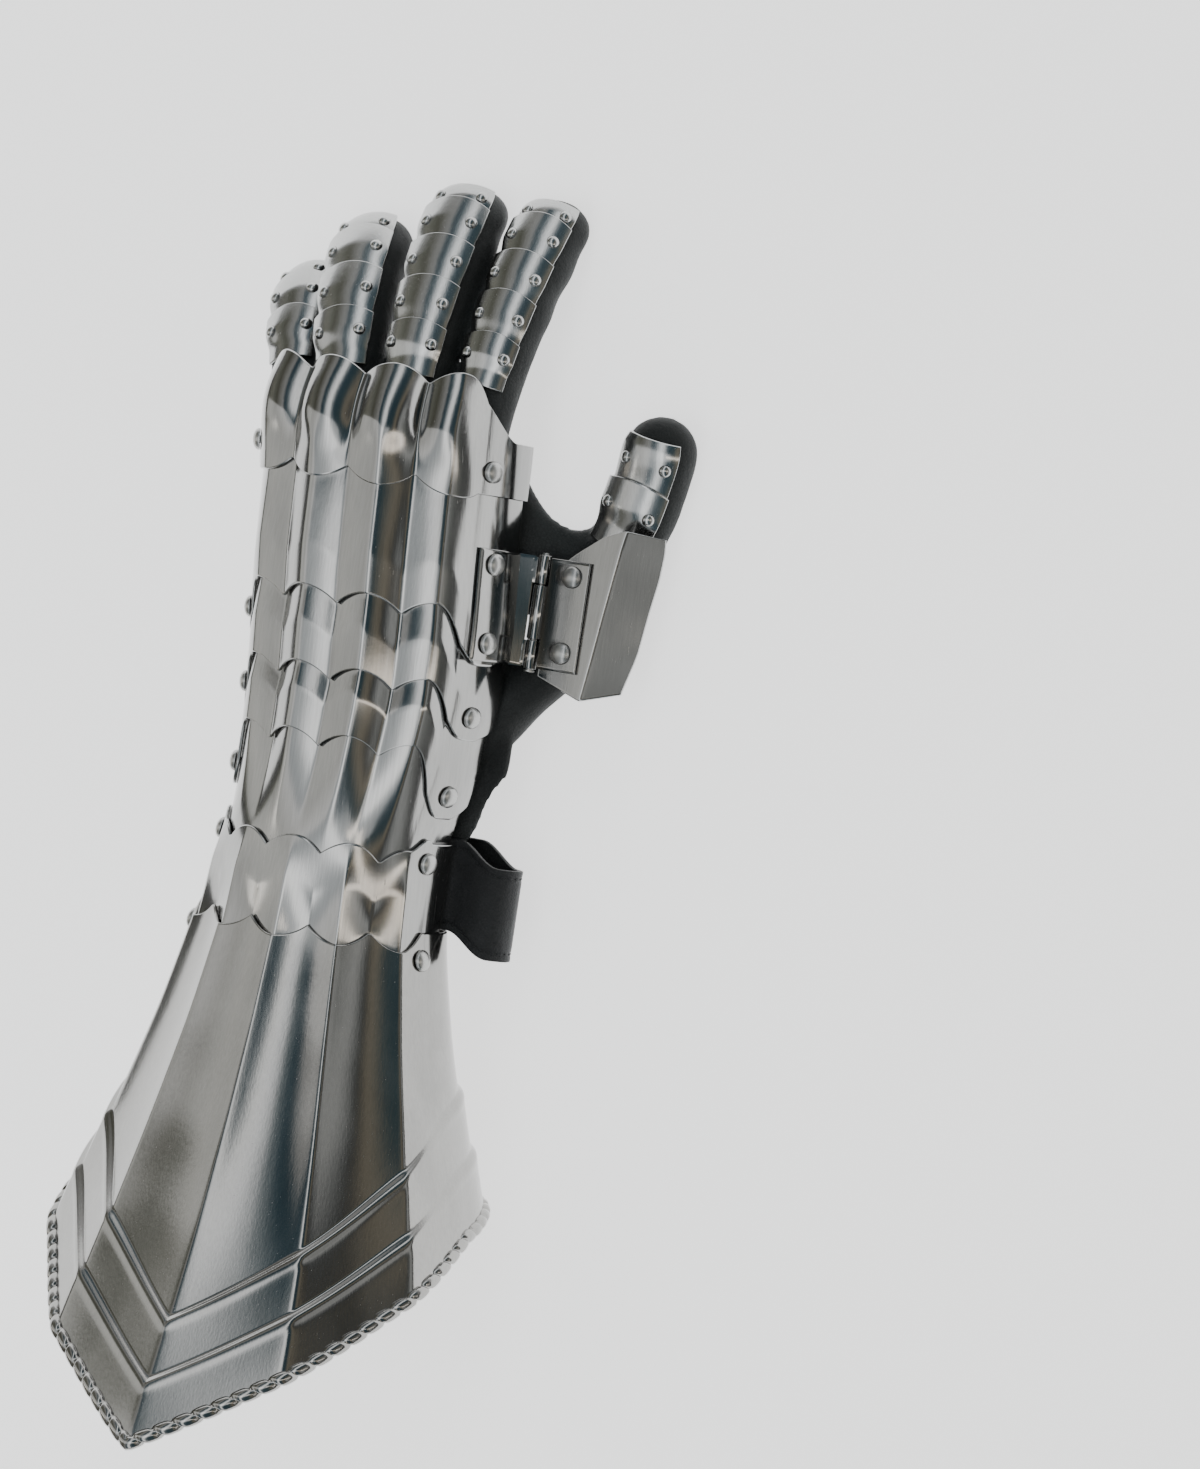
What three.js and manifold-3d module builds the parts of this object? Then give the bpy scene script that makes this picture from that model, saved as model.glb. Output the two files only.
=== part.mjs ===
// A steel gauntlet for a left hand, lying palm down: a flared, peaked cuff with a roped edge, fluted wrist
// and hand lames that overlap and share a rivet at each side, a knuckle plate with four bosses, a hinged
// thumb guard and riveted finger scales, all closed round a thin leather glove with a wrist strap.
// Millimetres. The arm's own frame has +Y towards the fingertips, +X towards the thumb, +Z out of the back
// of the hand, and y = 0 at the wrist. The whole arm is then pitched to lie on its cuff and fingertips, and
// moved over the origin.
import * as THREE from "three";
import { mergeVertices } from "three/addons/utils/BufferGeometryUtils.js";
import Module from "manifold-3d";

const wasm = await Module();
wasm.setup();

// ---- driving dimensions ----
const plateThickness = 1.2;
const gap = 0.4; // between neighbouring pieces
const layer = plateThickness + gap; // one plate lying over another
const overlap = 14; // how far a lame runs under its neighbour
const lameEdge = 98; // degrees from the back of the hand to a lame's long edge
const leather = 2;
const rest = { pitchDeg: 5.25, shiftX: -13.92, shiftY: -17.1, lift: 49.06 };

// The outside of the arm, section by section: half width, height above the axis and depth below it.
const armSections = [
  { y: -206, halfWidth: 86, crown: 82, keel: 78 },
  { y: -170, halfWidth: 79, crown: 69, keel: 70 },
  { y: -135, halfWidth: 69.5, crown: 57, keel: 57 },
  { y: -100, halfWidth: 59, crown: 47, keel: 47 },
  { y: -65, halfWidth: 49, crown: 39, keel: 38 },
  { y: -31, halfWidth: 41.5, crown: 33, keel: 33 },
  { y: 0, halfWidth: 37.5, crown: 31, keel: 34 },
  { y: 34, halfWidth: 40.5, crown: 32, keel: 40 },
  { y: 60, halfWidth: 43, crown: 33, keel: 44 },
  { y: 100, halfWidth: 44.5, crown: 34, keel: 46 },
  { y: 130, halfWidth: 45.5, crown: 35, keel: 46 },
  { y: 148, halfWidth: 46.5, crown: 35, keel: 46 },
  { y: 158, halfWidth: 45.5, crown: 31, keel: 46 },
  { y: 168, halfWidth: 43, crown: 24, keel: 46 },
];
// How far the sections lie towards the thumb, whose base the lames bulge over.
const thumbward = [
  { y: -31, shift: 0 },
  { y: 0, shift: 1 },
  { y: 22, shift: 4 },
  { y: 50, shift: 6 },
  { y: 76, shift: 5 },
  { y: 100, shift: 3.2 },
  { y: 134, shift: 1.5 },
  { y: 150, shift: 0 },
];
// How far the flutes stand proud of the section and sink below it: hand flutes follow the four fingers, cuff flutes
// have one ridge down the middle.
const fluteDepths = [
  { y: -206, hand: 0, cuff: 1.2 },
  { y: -150, hand: 0, cuff: 1.5 },
  { y: -100, hand: 0, cuff: 1.8 },
  { y: -31, hand: 0, cuff: 1.5 },
  { y: -12, hand: 0, cuff: 1.0 },
  { y: 2, hand: 0, cuff: 0 },
  { y: 10, hand: 0.7, cuff: 0 },
  { y: 34, hand: 2.0, cuff: 0 },
  { y: 130, hand: 2.0, cuff: 0 },
  { y: 148, hand: 3.6, cuff: 0 },
  { y: 160, hand: 3.4, cuff: 0 },
  { y: 168, hand: 2.4, cuff: 0 },
];
// Wave tables: degrees from the middle, and height from -1 in a valley to 1 on a ridge.
const handWave = [
  { at: 0, height: -1 },
  { at: 15, height: 1 },
  { at: 30, height: -1 },
  { at: 46, height: 1 },
  { at: 62, height: 0 },
  { at: 180, height: 0 },
];
const cuffWave = [
  { at: 0, height: 1 },
  { at: 15, height: -1 },
  { at: 30, height: 1 },
  { at: 46, height: -1 },
  { at: 62, height: 1 },
  { at: 80, height: 0 },
  { at: 180, height: 0 },
];

// ---- small maths ----
const degrees = Math.PI / 180;
const clamp = THREE.MathUtils.clamp;
const lerp = THREE.MathUtils.lerp;
const ease = (x, from, to) => THREE.MathUtils.smoothstep(x, Math.min(from, to), Math.max(from, to));

// A column of a table between its rows, straight from row to row.
function straight(table, key, column, x) {
  const next = clamp(
    table.findIndex((row) => row[key] > x),
    1,
    table.length - 1,
  );
  const high = x >= table.at(-1)[key] ? table.length - 1 : next;
  const [a, b] = [table[high - 1], table[high]];
  return lerp(a[column], b[column], clamp((x - a[key]) / (b[key] - a[key]), 0, 1));
}

// The same with rounded corners: the mean over a short window.
function rounded(table, column, y, window = 9) {
  const steps = [-1, -0.5, 0, 0.5, 1];
  const weights = [1, 2, 3, 2, 1];
  const sum = steps.reduce((s, k, i) => s + weights[i] * straight(table, "y", column, y + k * window), 0);
  return sum / 9;
}

const asideAt = (y) => rounded(thumbward, "shift", y);

// ---- the skin: every plate of the arm is cut from this one surface ----
// phi is in degrees from the back of the hand, positive towards the thumb. lift is the distance outside the surface.
function skin(y, phi, lift) {
  const side = Math.abs(phi);
  const a = rounded(armSections, "halfWidth", y);
  const b = rounded(armSections, side <= 90 ? "crown" : "keel", y);
  const s = Math.sin(phi * degrees);
  const c = Math.cos(phi * degrees);
  const x = a * s + asideAt(y);
  // The underside is beaten flat, for the cuff to lie on.
  const z = side <= 90 ? b * c : -b * Math.min(1, 1.045 * Math.abs(c) ** 0.8);
  const wave =
    rounded(fluteDepths, "hand", y, 5) * straight(handWave, "at", "height", side) +
    rounded(fluteDepths, "cuff", y, 5) * straight(cuffWave, "at", "height", side);
  const outX = (s / a) * (1 - ease(side, 147, 163));
  const outZ = c / b;
  const out = (lift + wave) / Math.hypot(outX, outZ);
  return new THREE.Vector3(x + outX * out, y, z + outZ * out);
}

// The direction out of the skin at a point.
function skinNormal(y, phi) {
  const along = skin(y + 1, phi, 0).sub(skin(y - 1, phi, 0));
  const around = skin(y, phi + 1, 0).sub(skin(y, phi - 1, 0));
  return around.cross(along).normalize();
}

// Arcs between cusps, 1 at the middle of an arc and 0 at its cusps.
function arcs(phi, middles, halfSpan) {
  const t = Math.min(...middles.map((m) => Math.abs(Math.abs(phi) - m))) / halfSpan;
  return 1 - Math.min(t, 1) ** 2;
}
const handRidges = [15, 46];
const cuffRidges = [0, 30, 62];
const scallop = 5;
const ridgeSpan = 15;

// ---- edges of the plates, each as the place along the arm at an angle round it ----
// A plate's side lobe carries its rivet, and reaches `drop` further towards the wrist than the middle of its edge.
const lobedEdge = (y, drop) => (phi) =>
  y -
  scallop +
  scallop * arcs(phi, handRidges, ridgeSpan) -
  (drop - scallop) * ease(Math.abs(phi), 46, 74) +
  drop * 0.35 * ease(Math.abs(phi), 84, 110);
// The cuff's rim runs straight from its peak to each side, and stays level under the arm.
const rim = { peak: -206, slope: 0.95, level: 90, corner: 12 };
const edges = {
  knuckleBack: (phi) => 129 - scallop * arcs(phi, handRidges, ridgeSpan) - 3 * ease(Math.abs(phi), 46, 62),
  knuckleFront: (phi) => 161 + 5 * arcs(phi, handRidges, ridgeSpan) - 16 * ease(Math.abs(phi), 50, 84),
  metacarpal: lobedEdge(87, 19),
  lame1: lobedEdge(61, 19),
  lame2: lobedEdge(38, 24),
  wristLame: (phi) => -3 + scallop * arcs(phi, cuffRidges, ridgeSpan) + 8 * ease(Math.abs(phi), 62, 76),
  cuffTop: (phi) => -28 - scallop * arcs(phi, cuffRidges, ridgeSpan) + 2 * ease(Math.abs(phi), 62, 76),
  cuffRim: (phi) => {
    const past = Math.log1p(Math.exp((rim.level - Math.abs(phi)) / rim.corner));
    return rim.peak + rim.slope * (rim.level - rim.corner * past);
  },
};

// ---- building blocks ----
function closedSurface(points, quads) {
  const position = new Float32Array(points.flatMap((p) => [p.x, p.y, p.z]));
  const index = quads.flatMap(([a, b, c, d]) => [a, b, c, a, c, d]);
  const geometry = new THREE.BufferGeometry();
  geometry.setAttribute("position", new THREE.BufferAttribute(position, 3));
  geometry.setIndex(index);
  return geometry;
}

// A sheet of metal or leather between two point grids of columns by rows. `around` joins its last column to its first.
function sheet(columns, rows, outer, inner, around = false) {
  const grid = (at) => rows.flatMap((v) => columns.map((u) => at(u, v)));
  const points = [...grid(outer), ...grid(inner)];
  const [n, m] = [columns.length, rows.length];
  const half = n * m;
  const quads = [];
  const spans = around ? n : n - 1;
  for (let j = 0; j < m - 1; j++)
    for (let i = 0; i < spans; i++) {
      const k = (i + 1) % n;
      const [a, b, c, d] = [j * n + i, j * n + k, (j + 1) * n + k, (j + 1) * n + i];
      quads.push([a, b, c, d], [half + a, half + d, half + c, half + b]);
    }
  for (let i = 0; i < spans; i++) {
    const k = (i + 1) % n;
    const top = (m - 1) * n;
    quads.push([half + i, half + k, k, i], [top + i, top + k, half + top + k, half + top + i]);
  }
  if (!around)
    for (let j = 0; j < m - 1; j++) {
      const last = n - 1;
      const [a, b] = [j * n, (j + 1) * n];
      quads.push([a, b, half + b, half + a], [half + a + last, half + b + last, b + last, a + last]);
    }
  return closedSurface(points, quads);
}

function solid(geometry) {
  const bare = new THREE.BufferGeometry().setAttribute("position", geometry.getAttribute("position"));
  bare.setIndex(geometry.getIndex());
  const merged = mergeVertices(bare, 1e-4);
  const made = new wasm.Manifold(
    new wasm.Mesh({
      numProp: 3,
      vertProperties: new Float32Array(merged.getAttribute("position").array),
      triVerts: new Uint32Array(merged.getIndex().array),
    }),
  );
  if (made.volume() >= 0) return made;
  const index = merged.getIndex().array;
  for (let i = 0; i < index.length; i += 3) [index[i], index[i + 1]] = [index[i + 1], index[i]];
  return new wasm.Manifold(
    new wasm.Mesh({
      numProp: 3,
      vertProperties: new Float32Array(merged.getAttribute("position").array),
      triVerts: new Uint32Array(index),
    }),
  );
}

function geometryOf(made) {
  const mesh = made.getMesh();
  const geometry = new THREE.BufferGeometry();
  geometry.setAttribute("position", new THREE.BufferAttribute(new Float32Array(mesh.vertProperties), 3));
  geometry.setIndex(new THREE.BufferAttribute(new Uint32Array(mesh.triVerts), 1));
  geometry.computeVertexNormals();
  return geometry;
}

// A turned shape standing on `foot`, its axis along `out`.
function turned(profile, sides, foot, out) {
  const shape = new THREE.LatheGeometry(
    profile.map(([r, h]) => new THREE.Vector2(r, h)),
    sides,
  );
  shape.applyQuaternion(new THREE.Quaternion().setFromUnitVectors(new THREE.Vector3(0, 1, 0), out));
  return shape.translate(foot.x, foot.y, foot.z);
}

// ---- materials ----
const steel = new THREE.MeshStandardMaterial({ color: 0xc4c6c6, metalness: 1, roughness: 0.18 });
const darkLeather = new THREE.MeshStandardMaterial({ color: 0x16191a, metalness: 0, roughness: 0.85 });

const arm = new THREE.Group();
function add(name, made, material = steel) {
  const mesh = new THREE.Mesh(geometryOf(made), material.clone());
  mesh.name = name;
  arm.add(mesh);
  return mesh;
}

// ---- rivets: a domed head outside, a shank, and a small burr inside ----
const rivetHead = 3.8;
const rivetShank = 1.5;
const rivetSides = 6;
// `depth` is how much plate the shank crosses below `foot`.
function rivet(foot, out, depth) {
  const clear = 0.52;
  const profile = [
    [0, -depth - 1.3],
    [2.3, -depth - clear],
    [rivetShank, -depth - clear],
    [rivetShank, clear],
    [rivetHead, clear],
    [rivetHead * 0.7, 1.9],
    [0, 2.7],
  ];
  return solid(turned(profile, rivetSides, foot, out));
}
function rivetHole(foot, out, depth) {
  const r = rivetShank + 0.3;
  const profile = [
    [0, -depth - 3],
    [r, -depth - 3],
    [r, 4],
    [0, 4],
  ];
  return solid(turned(profile, rivetSides, foot, out));
}
// The lames' rivets, where each pair of plates pivots at both sides of the arm. On the thumb side the one through the
// metacarpal plate also holds the hinge leaf, so it stands higher.
const hinge = { x: 58.5, z: -12.5, from: 69, to: 109, barrel: 2.7, bore: 1.55, pin: 1.3, leaf: 1.1 };
const leafLift = gap + hinge.leaf;
const pivotAngle = 76;
const pivots = [
  { name: "knuckle", y: 134, angle: 68 },
  { name: "metacarpal", y: 76, angle: pivotAngle },
  { name: "lame_1", y: 50, angle: pivotAngle },
  { name: "lame_2", y: 22, angle: pivotAngle },
  { name: "wrist", y: -2, angle: pivotAngle },
  { name: "cuff", y: -35, angle: pivotAngle },
];
const sides = [
  { name: "thumb_side", sign: 1 },
  { name: "little_side", sign: -1 },
];
const twoPlates = layer + plateThickness;
const pivotPlaces = pivots.flatMap((pivot) =>
  sides.map((side) => {
    const onLeaf = pivot.name === "metacarpal" && side.sign > 0 ? leafLift : 0;
    return {
      name: `rivet_${pivot.name}_${side.name}`,
      foot: skin(pivot.y, side.sign * pivot.angle, twoPlates + onLeaf),
      out: skinNormal(pivot.y, side.sign * pivot.angle),
      depth: twoPlates + onLeaf,
    };
  }),
);
const alongHinge = (share) => lerp(hinge.from, hinge.to, share);
// The outside of the metacarpal plate, which sinks by a layer on its way to the knuckle plate.
const metacarpalTop = (y) => {
  const from = edges.metacarpal(pivotAngle) + overlap;
  const to = edges.knuckleBack(pivotAngle);
  return twoPlates - layer * clamp((y - from) / (to - from), 0, 1);
};
const leafRivet = {
  name: "rivet_hinge_hand_leaf",
  foot: skin(alongHinge(0.85), pivotAngle, metacarpalTop(alongHinge(0.85)) + leafLift),
  out: skinNormal(alongHinge(0.85), pivotAngle),
  depth: leafLift + plateThickness,
};
const handRivets = [...pivotPlaces, leafRivet];
const handHoles = handRivets.map((p) => rivetHole(p.foot, p.out, p.depth));
for (const p of handRivets) add(p.name, rivet(p.foot, p.out, p.depth));

const drilled = (plate, holes) => holes.reduce((left, hole) => left.subtract(hole), plate);

// ---- hand and wrist lames ----
const halfAngles = [0, 7.5, 15, 22.5, 30, 38, 46, 62, 71, 80, lameEdge];
const bothSides = (half) => [...half.slice(1).reverse().map((a) => -a), ...half];
const lameAngles = bothSides(halfAngles);
// A lame between a wrist edge and a finger edge, with the layer that it lies in at each end.
function lame(wristEdge, fingerEdge, wristLayer, fingerLayer) {
  const rows = [
    { share: 0, inset: 0, lift: wristLayer },
    { share: 0, inset: overlap, lift: wristLayer },
    { share: 1, inset: -overlap, lift: fingerLayer },
    { share: 1, inset: 0, lift: fingerLayer },
  ];
  const at = (thickness) => (phi, row) => {
    const y = lerp(wristEdge(phi), fingerEdge(phi), row.share) + row.inset;
    return skin(y, phi, row.lift + thickness);
  };
  return drilled(solid(sheet(lameAngles, rows, at(plateThickness), at(0))), handHoles);
}
const beyond = (edge, distance) => (phi) => edge(phi) + distance;

// ---- cuff: closed round the arm, with two raised bands that follow its edge, and the edge turned and roped ----
const cuffHalf = [...halfAngles, 115, 131, 147, 163];
const cuffAngles = [180, ...bothSides(cuffHalf)];
const roped = { width: 6.5, proud: 1.9, inside: 2.2 };
const bands = [24, 44]; // distances of the raised bands from the rim
const bandSlope = 2.5;
const bandStep = 1.6;
const cuffRows = [
  { fromRim: 0, out: 0.6, in: 0.6, steps: 2 },
  { fromRim: roped.width * 0.35, out: roped.proud, in: roped.inside, steps: 2 },
  { fromRim: roped.width * 0.75, out: roped.proud, in: roped.inside, steps: 2 },
  { fromRim: roped.width, out: 0, in: 0, steps: 2 },
  { fromRim: bands[0] - bandSlope, out: 0, in: 0, steps: 2 },
  { fromRim: bands[0], out: 0, in: 0, steps: 1 },
  { fromRim: bands[1] - bandSlope, out: 0, in: 0, steps: 1 },
  { fromRim: bands[1], out: 0, in: 0, steps: 0 },
  { toTop: 0.5, out: 0, in: 0, steps: 0 },
  { toTop: 1, inset: -overlap, out: 0, in: 0, steps: 0 },
  { toTop: 1, inset: 0, out: 0, in: 0, steps: 0 },
];
function cuff() {
  const place = (phi, row) => {
    const edge = edges.cuffRim(phi);
    if (row.fromRim !== undefined) return edge + row.fromRim;
    return lerp(edge + bands[1], edges.cuffTop(phi), row.toTop) + (row.inset ?? 0);
  };
  const outer = (phi, row) =>
    skin(place(phi, row), phi, layer + plateThickness + row.out + row.steps * bandStep);
  const inner = (phi, row) => skin(place(phi, row), phi, layer - row.in + row.steps * bandStep);
  return drilled(solid(sheet(cuffAngles, cuffRows, outer, inner, true)), handHoles);
}

add("cuff", cuff());
add("wrist_lame", lame(beyond(edges.cuffTop, -overlap), edges.wristLame, 0, layer));
add("wrist_plate", lame(beyond(edges.wristLame, -overlap), beyond(edges.lame2, overlap), 0, 0));
add("hand_lame_2", lame(edges.lame2, beyond(edges.lame1, overlap), layer, 0));
add("hand_lame_1", lame(edges.lame1, beyond(edges.metacarpal, overlap), layer, 0));
add("metacarpal_plate", lame(edges.metacarpal, beyond(edges.knuckleBack, overlap), layer, 0));
function knucklePlate() {
  const rows = [
    { share: 0, inset: 0 },
    { share: 0, inset: overlap },
    { share: 0.62, inset: 0 },
    { share: 0.82, inset: 0 },
    { share: 1, inset: 0 },
  ];
  const at = (thickness) => (phi, row) =>
    skin(lerp(edges.knuckleBack(phi), edges.knuckleFront(phi), row.share) + row.inset, phi, layer + thickness);
  return drilled(solid(sheet(lameAngles, rows, at(plateThickness), at(0))), handHoles);
}
add("knuckle_plate", knucklePlate());

// ---- hinge of the thumb guard: two leaves, their interleaved knuckles and a pin ----
const yAxis = new THREE.Vector3(0, 1, 0);
const hingeKnuckles = [
  { from: 0, to: 0.26, leaf: "hand" },
  { from: 0.26, to: 0.74, leaf: "thumb" },
  { from: 0.74, to: 1, leaf: "hand" },
];
function ring(inside, outside, from, to, sidesRound = 8) {
  const profile = [
    [inside, 0],
    [outside, 0],
    [outside, to - from],
    [inside, to - from],
  ];
  if (inside > 0) profile.push([inside, 0]);
  return solid(turned(profile, sidesRound, new THREE.Vector3(hinge.x, from, hinge.z), yAxis));
}
const barrelOf = (leaf) =>
  hingeKnuckles
    .filter((k) => k.leaf === leaf)
    .map((k) => ring(hinge.bore, hinge.barrel, alongHinge(k.from) + gap / 2, alongHinge(k.to) - gap / 2));
// The room that the other leaf's knuckles need.
const roomFrom = (leaf) =>
  hingeKnuckles
    .filter((k) => k.leaf !== leaf)
    .map((k) => ring(0, hinge.barrel + gap, alongHinge(k.from) - gap / 2, alongHinge(k.to) + gap / 2));
const pinBore = ring(0, hinge.bore, hinge.from - 8, hinge.to + 8);
function pin() {
  const head = ring(0, hinge.barrel * 0.8, hinge.from - 1, hinge.from - 0.1);
  const shank = ring(0, hinge.pin, hinge.from - 0.5, hinge.to + 0.6);
  return head.add(shank);
}
add("hinge_pin", pin());

// A leaf's strip of plate, swept along the hinge over the given ends.
const leafEnds = [{ share: 0.02 }, { share: 0.5 }, { share: 0.98 }];
const hingeAxisAt = (y) => new THREE.Vector3(hinge.x, y, hinge.z);
// The hand leaf lies on the outside of the metacarpal plate, and leaves its long edge for the barrel.
function handLeaf() {
  const columns = [66, 73, 80, 89, lameEdge - 1.5, 200];
  const at = (lift) => (phi, row) => {
    const y = alongHinge(row.share);
    if (phi < 180) return skin(y, phi, metacarpalTop(y) + gap + lift);
    const edge = skin(y, lameEdge - 1.5, metacarpalTop(y) + gap + lift);
    const axis = hingeAxisAt(y);
    return axis.addScaledVector(edge.sub(axis).normalize(), 2 - lift * 0.2);
  };
  const strip = drilled(solid(sheet(columns, leafEnds, at(hinge.leaf), at(0))), roomFrom("hand"));
  const whole = barrelOf("hand").reduce((sum, part) => sum.add(part), strip);
  return drilled(whole, [pinBore, ...handHoles]);
}
add("hinge_leaf_hand", handLeaf());

// ---- thumb guard: a creased plate from the hinge out over the thumb ----
// Rails along the plate, from the wrist end to the thumb tip end: its hinge edge and its crease, which lie in the plane
// of its inner panel, and the outer edge that it is bent down to.
const guardRoot = { x: 62.2, z: -13, slope: 0.18 };
const guardRails = [
  { hinge: [62.2, 67], crease: [80, 61], outer: [90, 65, -21] },
  { hinge: [62.2, 78], crease: [82, 75], outer: [94, 79, -21] },
  { hinge: [62.2, 91], crease: [84, 90], outer: [96, 94, -21] },
  { hinge: [62.6, 104], crease: [86, 104], outer: [98, 106, -21] },
  { hinge: [71, 111], crease: [87.5, 114], outer: [99, 115, -20] },
  { hinge: [81, 118], crease: [89, 121], outer: [99, 120, -19] },
];
const guardTilt = Math.atan(guardRoot.slope);
const guardUp = new THREE.Vector3(-Math.sin(guardTilt), 0, Math.cos(guardTilt));
const guardOut = new THREE.Vector3(Math.sin(0.8), 0, Math.cos(0.8)); // square to the outer band
// A point on the inner panel's inner face, a distance out from the hinge edge and a height above that face.
const onGuard = (distance, y, lift) =>
  new THREE.Vector3(guardRoot.x, y, guardRoot.z)
    .addScaledVector(new THREE.Vector3(Math.cos(guardTilt), 0, Math.sin(guardTilt)), distance)
    .addScaledVector(guardUp, lift);
function thumbPlate() {
  const across = [0, 0.94, 1.06, 2];
  const at = (lift) => (share, row) => {
    const [start, crease] = [row.hinge, row.crease].map(([x, y]) =>
      onGuard((x - guardRoot.x) / Math.cos(guardTilt), y, 0),
    );
    const p = share <= 1 ? start.lerp(crease, share) : crease.lerp(new THREE.Vector3(...row.outer), share - 1);
    return p.addScaledVector(share < 1 ? guardUp : guardOut, lift);
  };
  return solid(sheet(across, guardRails, at(plateThickness), at(0)));
}
const guardRivets = [0.18, 0.84].map((share, i) => ({
  name: `rivet_hinge_thumb_leaf_${i + 1}`,
  foot: onGuard(9.5, alongHinge(share), plateThickness + leafLift),
  out: guardUp,
  depth: plateThickness + leafLift,
}));
const guardHoles = guardRivets.map((p) => rivetHole(p.foot, p.out, p.depth));
for (const p of guardRivets) add(p.name, rivet(p.foot, p.out, p.depth));
add("thumb_plate", drilled(thumbPlate(), guardHoles));
function thumbLeaf() {
  const columns = [-3, 0, 16];
  const at = (lift) => (distance, row) => {
    const y = alongHinge(row.share);
    if (distance >= 0) return onGuard(distance, y, plateThickness + gap + lift);
    return hingeAxisAt(y).add(new THREE.Vector3(1.6, 0, 0.6 + lift));
  };
  const strip = drilled(solid(sheet(columns, leafEnds, at(hinge.leaf), at(0))), roomFrom("thumb"));
  const whole = barrelOf("thumb").reduce((sum, part) => sum.add(part), strip);
  return drilled(whole, [pinBore, ...guardHoles]);
}
add("hinge_leaf_thumb", thumbLeaf());

// ---- fingers and thumb ----
// Each digit starts inside the hand, turns from one yaw to the other and bends down from one pitch to the other.
const fingers = [
  {
    name: "index",
    root: [34.5, 147, 6],
    yaw: [4.5, 4.5],
    pitch: [3, 39],
    length: 90,
    width: 12.8,
    height: 10,
    scales: 5,
  },
  {
    name: "middle",
    root: [11.5, 147, 11.5],
    yaw: [-2, -3],
    pitch: [5, 42.5],
    length: 93,
    width: 14,
    height: 10.5,
    scales: 5,
  },
  {
    name: "ring",
    root: [-12.5, 147, 11.5],
    yaw: [-11, -16],
    pitch: [6, 52.5],
    length: 82,
    width: 14,
    height: 10.5,
    scales: 4,
  },
  {
    name: "little",
    root: [-35, 147, 4.5],
    yaw: [-15, -24],
    pitch: [8, 62],
    length: 63,
    width: 11.8,
    height: 9.5,
    scales: 3,
  },
];
const thumb = {
  name: "thumb",
  root: [37, 42, -19],
  yaw: [42, 8],
  pitch: [14, -12],
  length: 135,
  width: 13,
  height: 10,
};
const rootWidth = 0.82; // a digit's width at its root, as a share of its width near the tip

// A point round a digit: s along it, psi in degrees from its top, lift outside the glove.
function digitPoint(digit, s, psi, lift = 0) {
  const steps = 8;
  const centre = new THREE.Vector3(...digit.root);
  const along = (t, [from, to]) => lerp(from, to, t / digit.length) * degrees;
  const heading = (t) => {
    const [yaw, pitch] = [along(t, digit.yaw), along(t, digit.pitch)];
    return new THREE.Vector3(Math.sin(yaw) * Math.cos(pitch), Math.cos(yaw) * Math.cos(pitch), -Math.sin(pitch));
  };
  for (let i = 0; i < steps; i++) centre.addScaledVector(heading((s * (i + 0.5)) / steps), s / steps);
  const forward = heading(s);
  const side = new THREE.Vector3(forward.y, -forward.x, 0).normalize();
  const up = side.clone().cross(forward);
  const toTip = clamp((digit.length - s) / digit.width, 0, 1);
  const tip = Math.sqrt(1 - (1 - toTip) ** 2);
  const taper = lerp(rootWidth, 1, ease(s, 0, digit.length * 0.75));
  const a = digit.width * taper * tip + lift;
  const b = digit.height * lerp(0.92, 1, taper) * tip + lift;
  return centre.addScaledVector(side, a * Math.sin(psi * degrees)).addScaledVector(up, b * Math.cos(psi * degrees));
}

// A closed skin through rings of points, each ring going the same way round.
function tube(rings) {
  const n = rings[0].length;
  const quads = [];
  for (let j = 0; j < rings.length - 1; j++)
    for (let i = 0; i < n; i++) {
      const k = (i + 1) % n;
      quads.push([j * n + i, j * n + k, (j + 1) * n + k, (j + 1) * n + i]);
    }
  const geometry = closedSurface(rings.flat(), quads);
  const index = [...geometry.getIndex().array];
  const last = (rings.length - 1) * n;
  for (let i = 1; i < n - 1; i++) {
    index.push(0, i + 1, i);
    index.push(last, last + i, last + i + 1);
  }
  geometry.setIndex(index);
  return solid(geometry);
}
const roundAngles = (n) => Array.from({ length: n }, (_, i) => (i * 360) / n);
// A digit of the glove, `inset` inside its surface.
function digitTube(digit, inset, places, sidesRound) {
  const reach = digit.length - inset;
  const stations = [...places.map((t) => t * (reach - 12)), reach - 10, reach - 5, reach - 1.6, reach - 0.2];
  const shrunk = {
    ...digit,
    width: digit.width - inset,
    height: digit.height - inset,
    length: reach,
    yaw: [digit.yaw[0], lerp(...digit.yaw, reach / digit.length)],
    pitch: [digit.pitch[0], lerp(...digit.pitch, reach / digit.length)],
  };
  return tube(stations.map((s) => roundAngles(sidesRound).map((psi) => digitPoint(shrunk, s, psi))));
}

// ---- glove: the hand and wrist in thin leather, open at the cuff end, with hollow fingers ----
// thumbBulge is how far the slack leather below the plates' long edges stands out towards the thumb.
const gloveSections = [
  { y: -52, halfWidth: 35, top: 28, bottom: 25, thumbBulge: 0 },
  { y: -30, halfWidth: 32.8, top: 27, bottom: 24, thumbBulge: 0 },
  { y: 4, halfWidth: 32.5, top: 26.5, bottom: 24, thumbBulge: 5 },
  { y: 30, halfWidth: 35.5, top: 27, bottom: 25, thumbBulge: 11 },
  { y: 62, halfWidth: 39, top: 28, bottom: 27, thumbBulge: 8 },
  { y: 95, halfWidth: 41.5, top: 28.5, bottom: 27, thumbBulge: 2 },
  { y: 125, halfWidth: 42.5, top: 28.5, bottom: 24, thumbBulge: 0 },
  { y: 146, halfWidth: 42.5, top: 24, bottom: 18, thumbBulge: 0 },
  { y: 154, halfWidth: 40, top: 18, bottom: 12, thumbBulge: 0 },
];
const slackFrom = 11; // the leather stands out from this far below the axis
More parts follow.
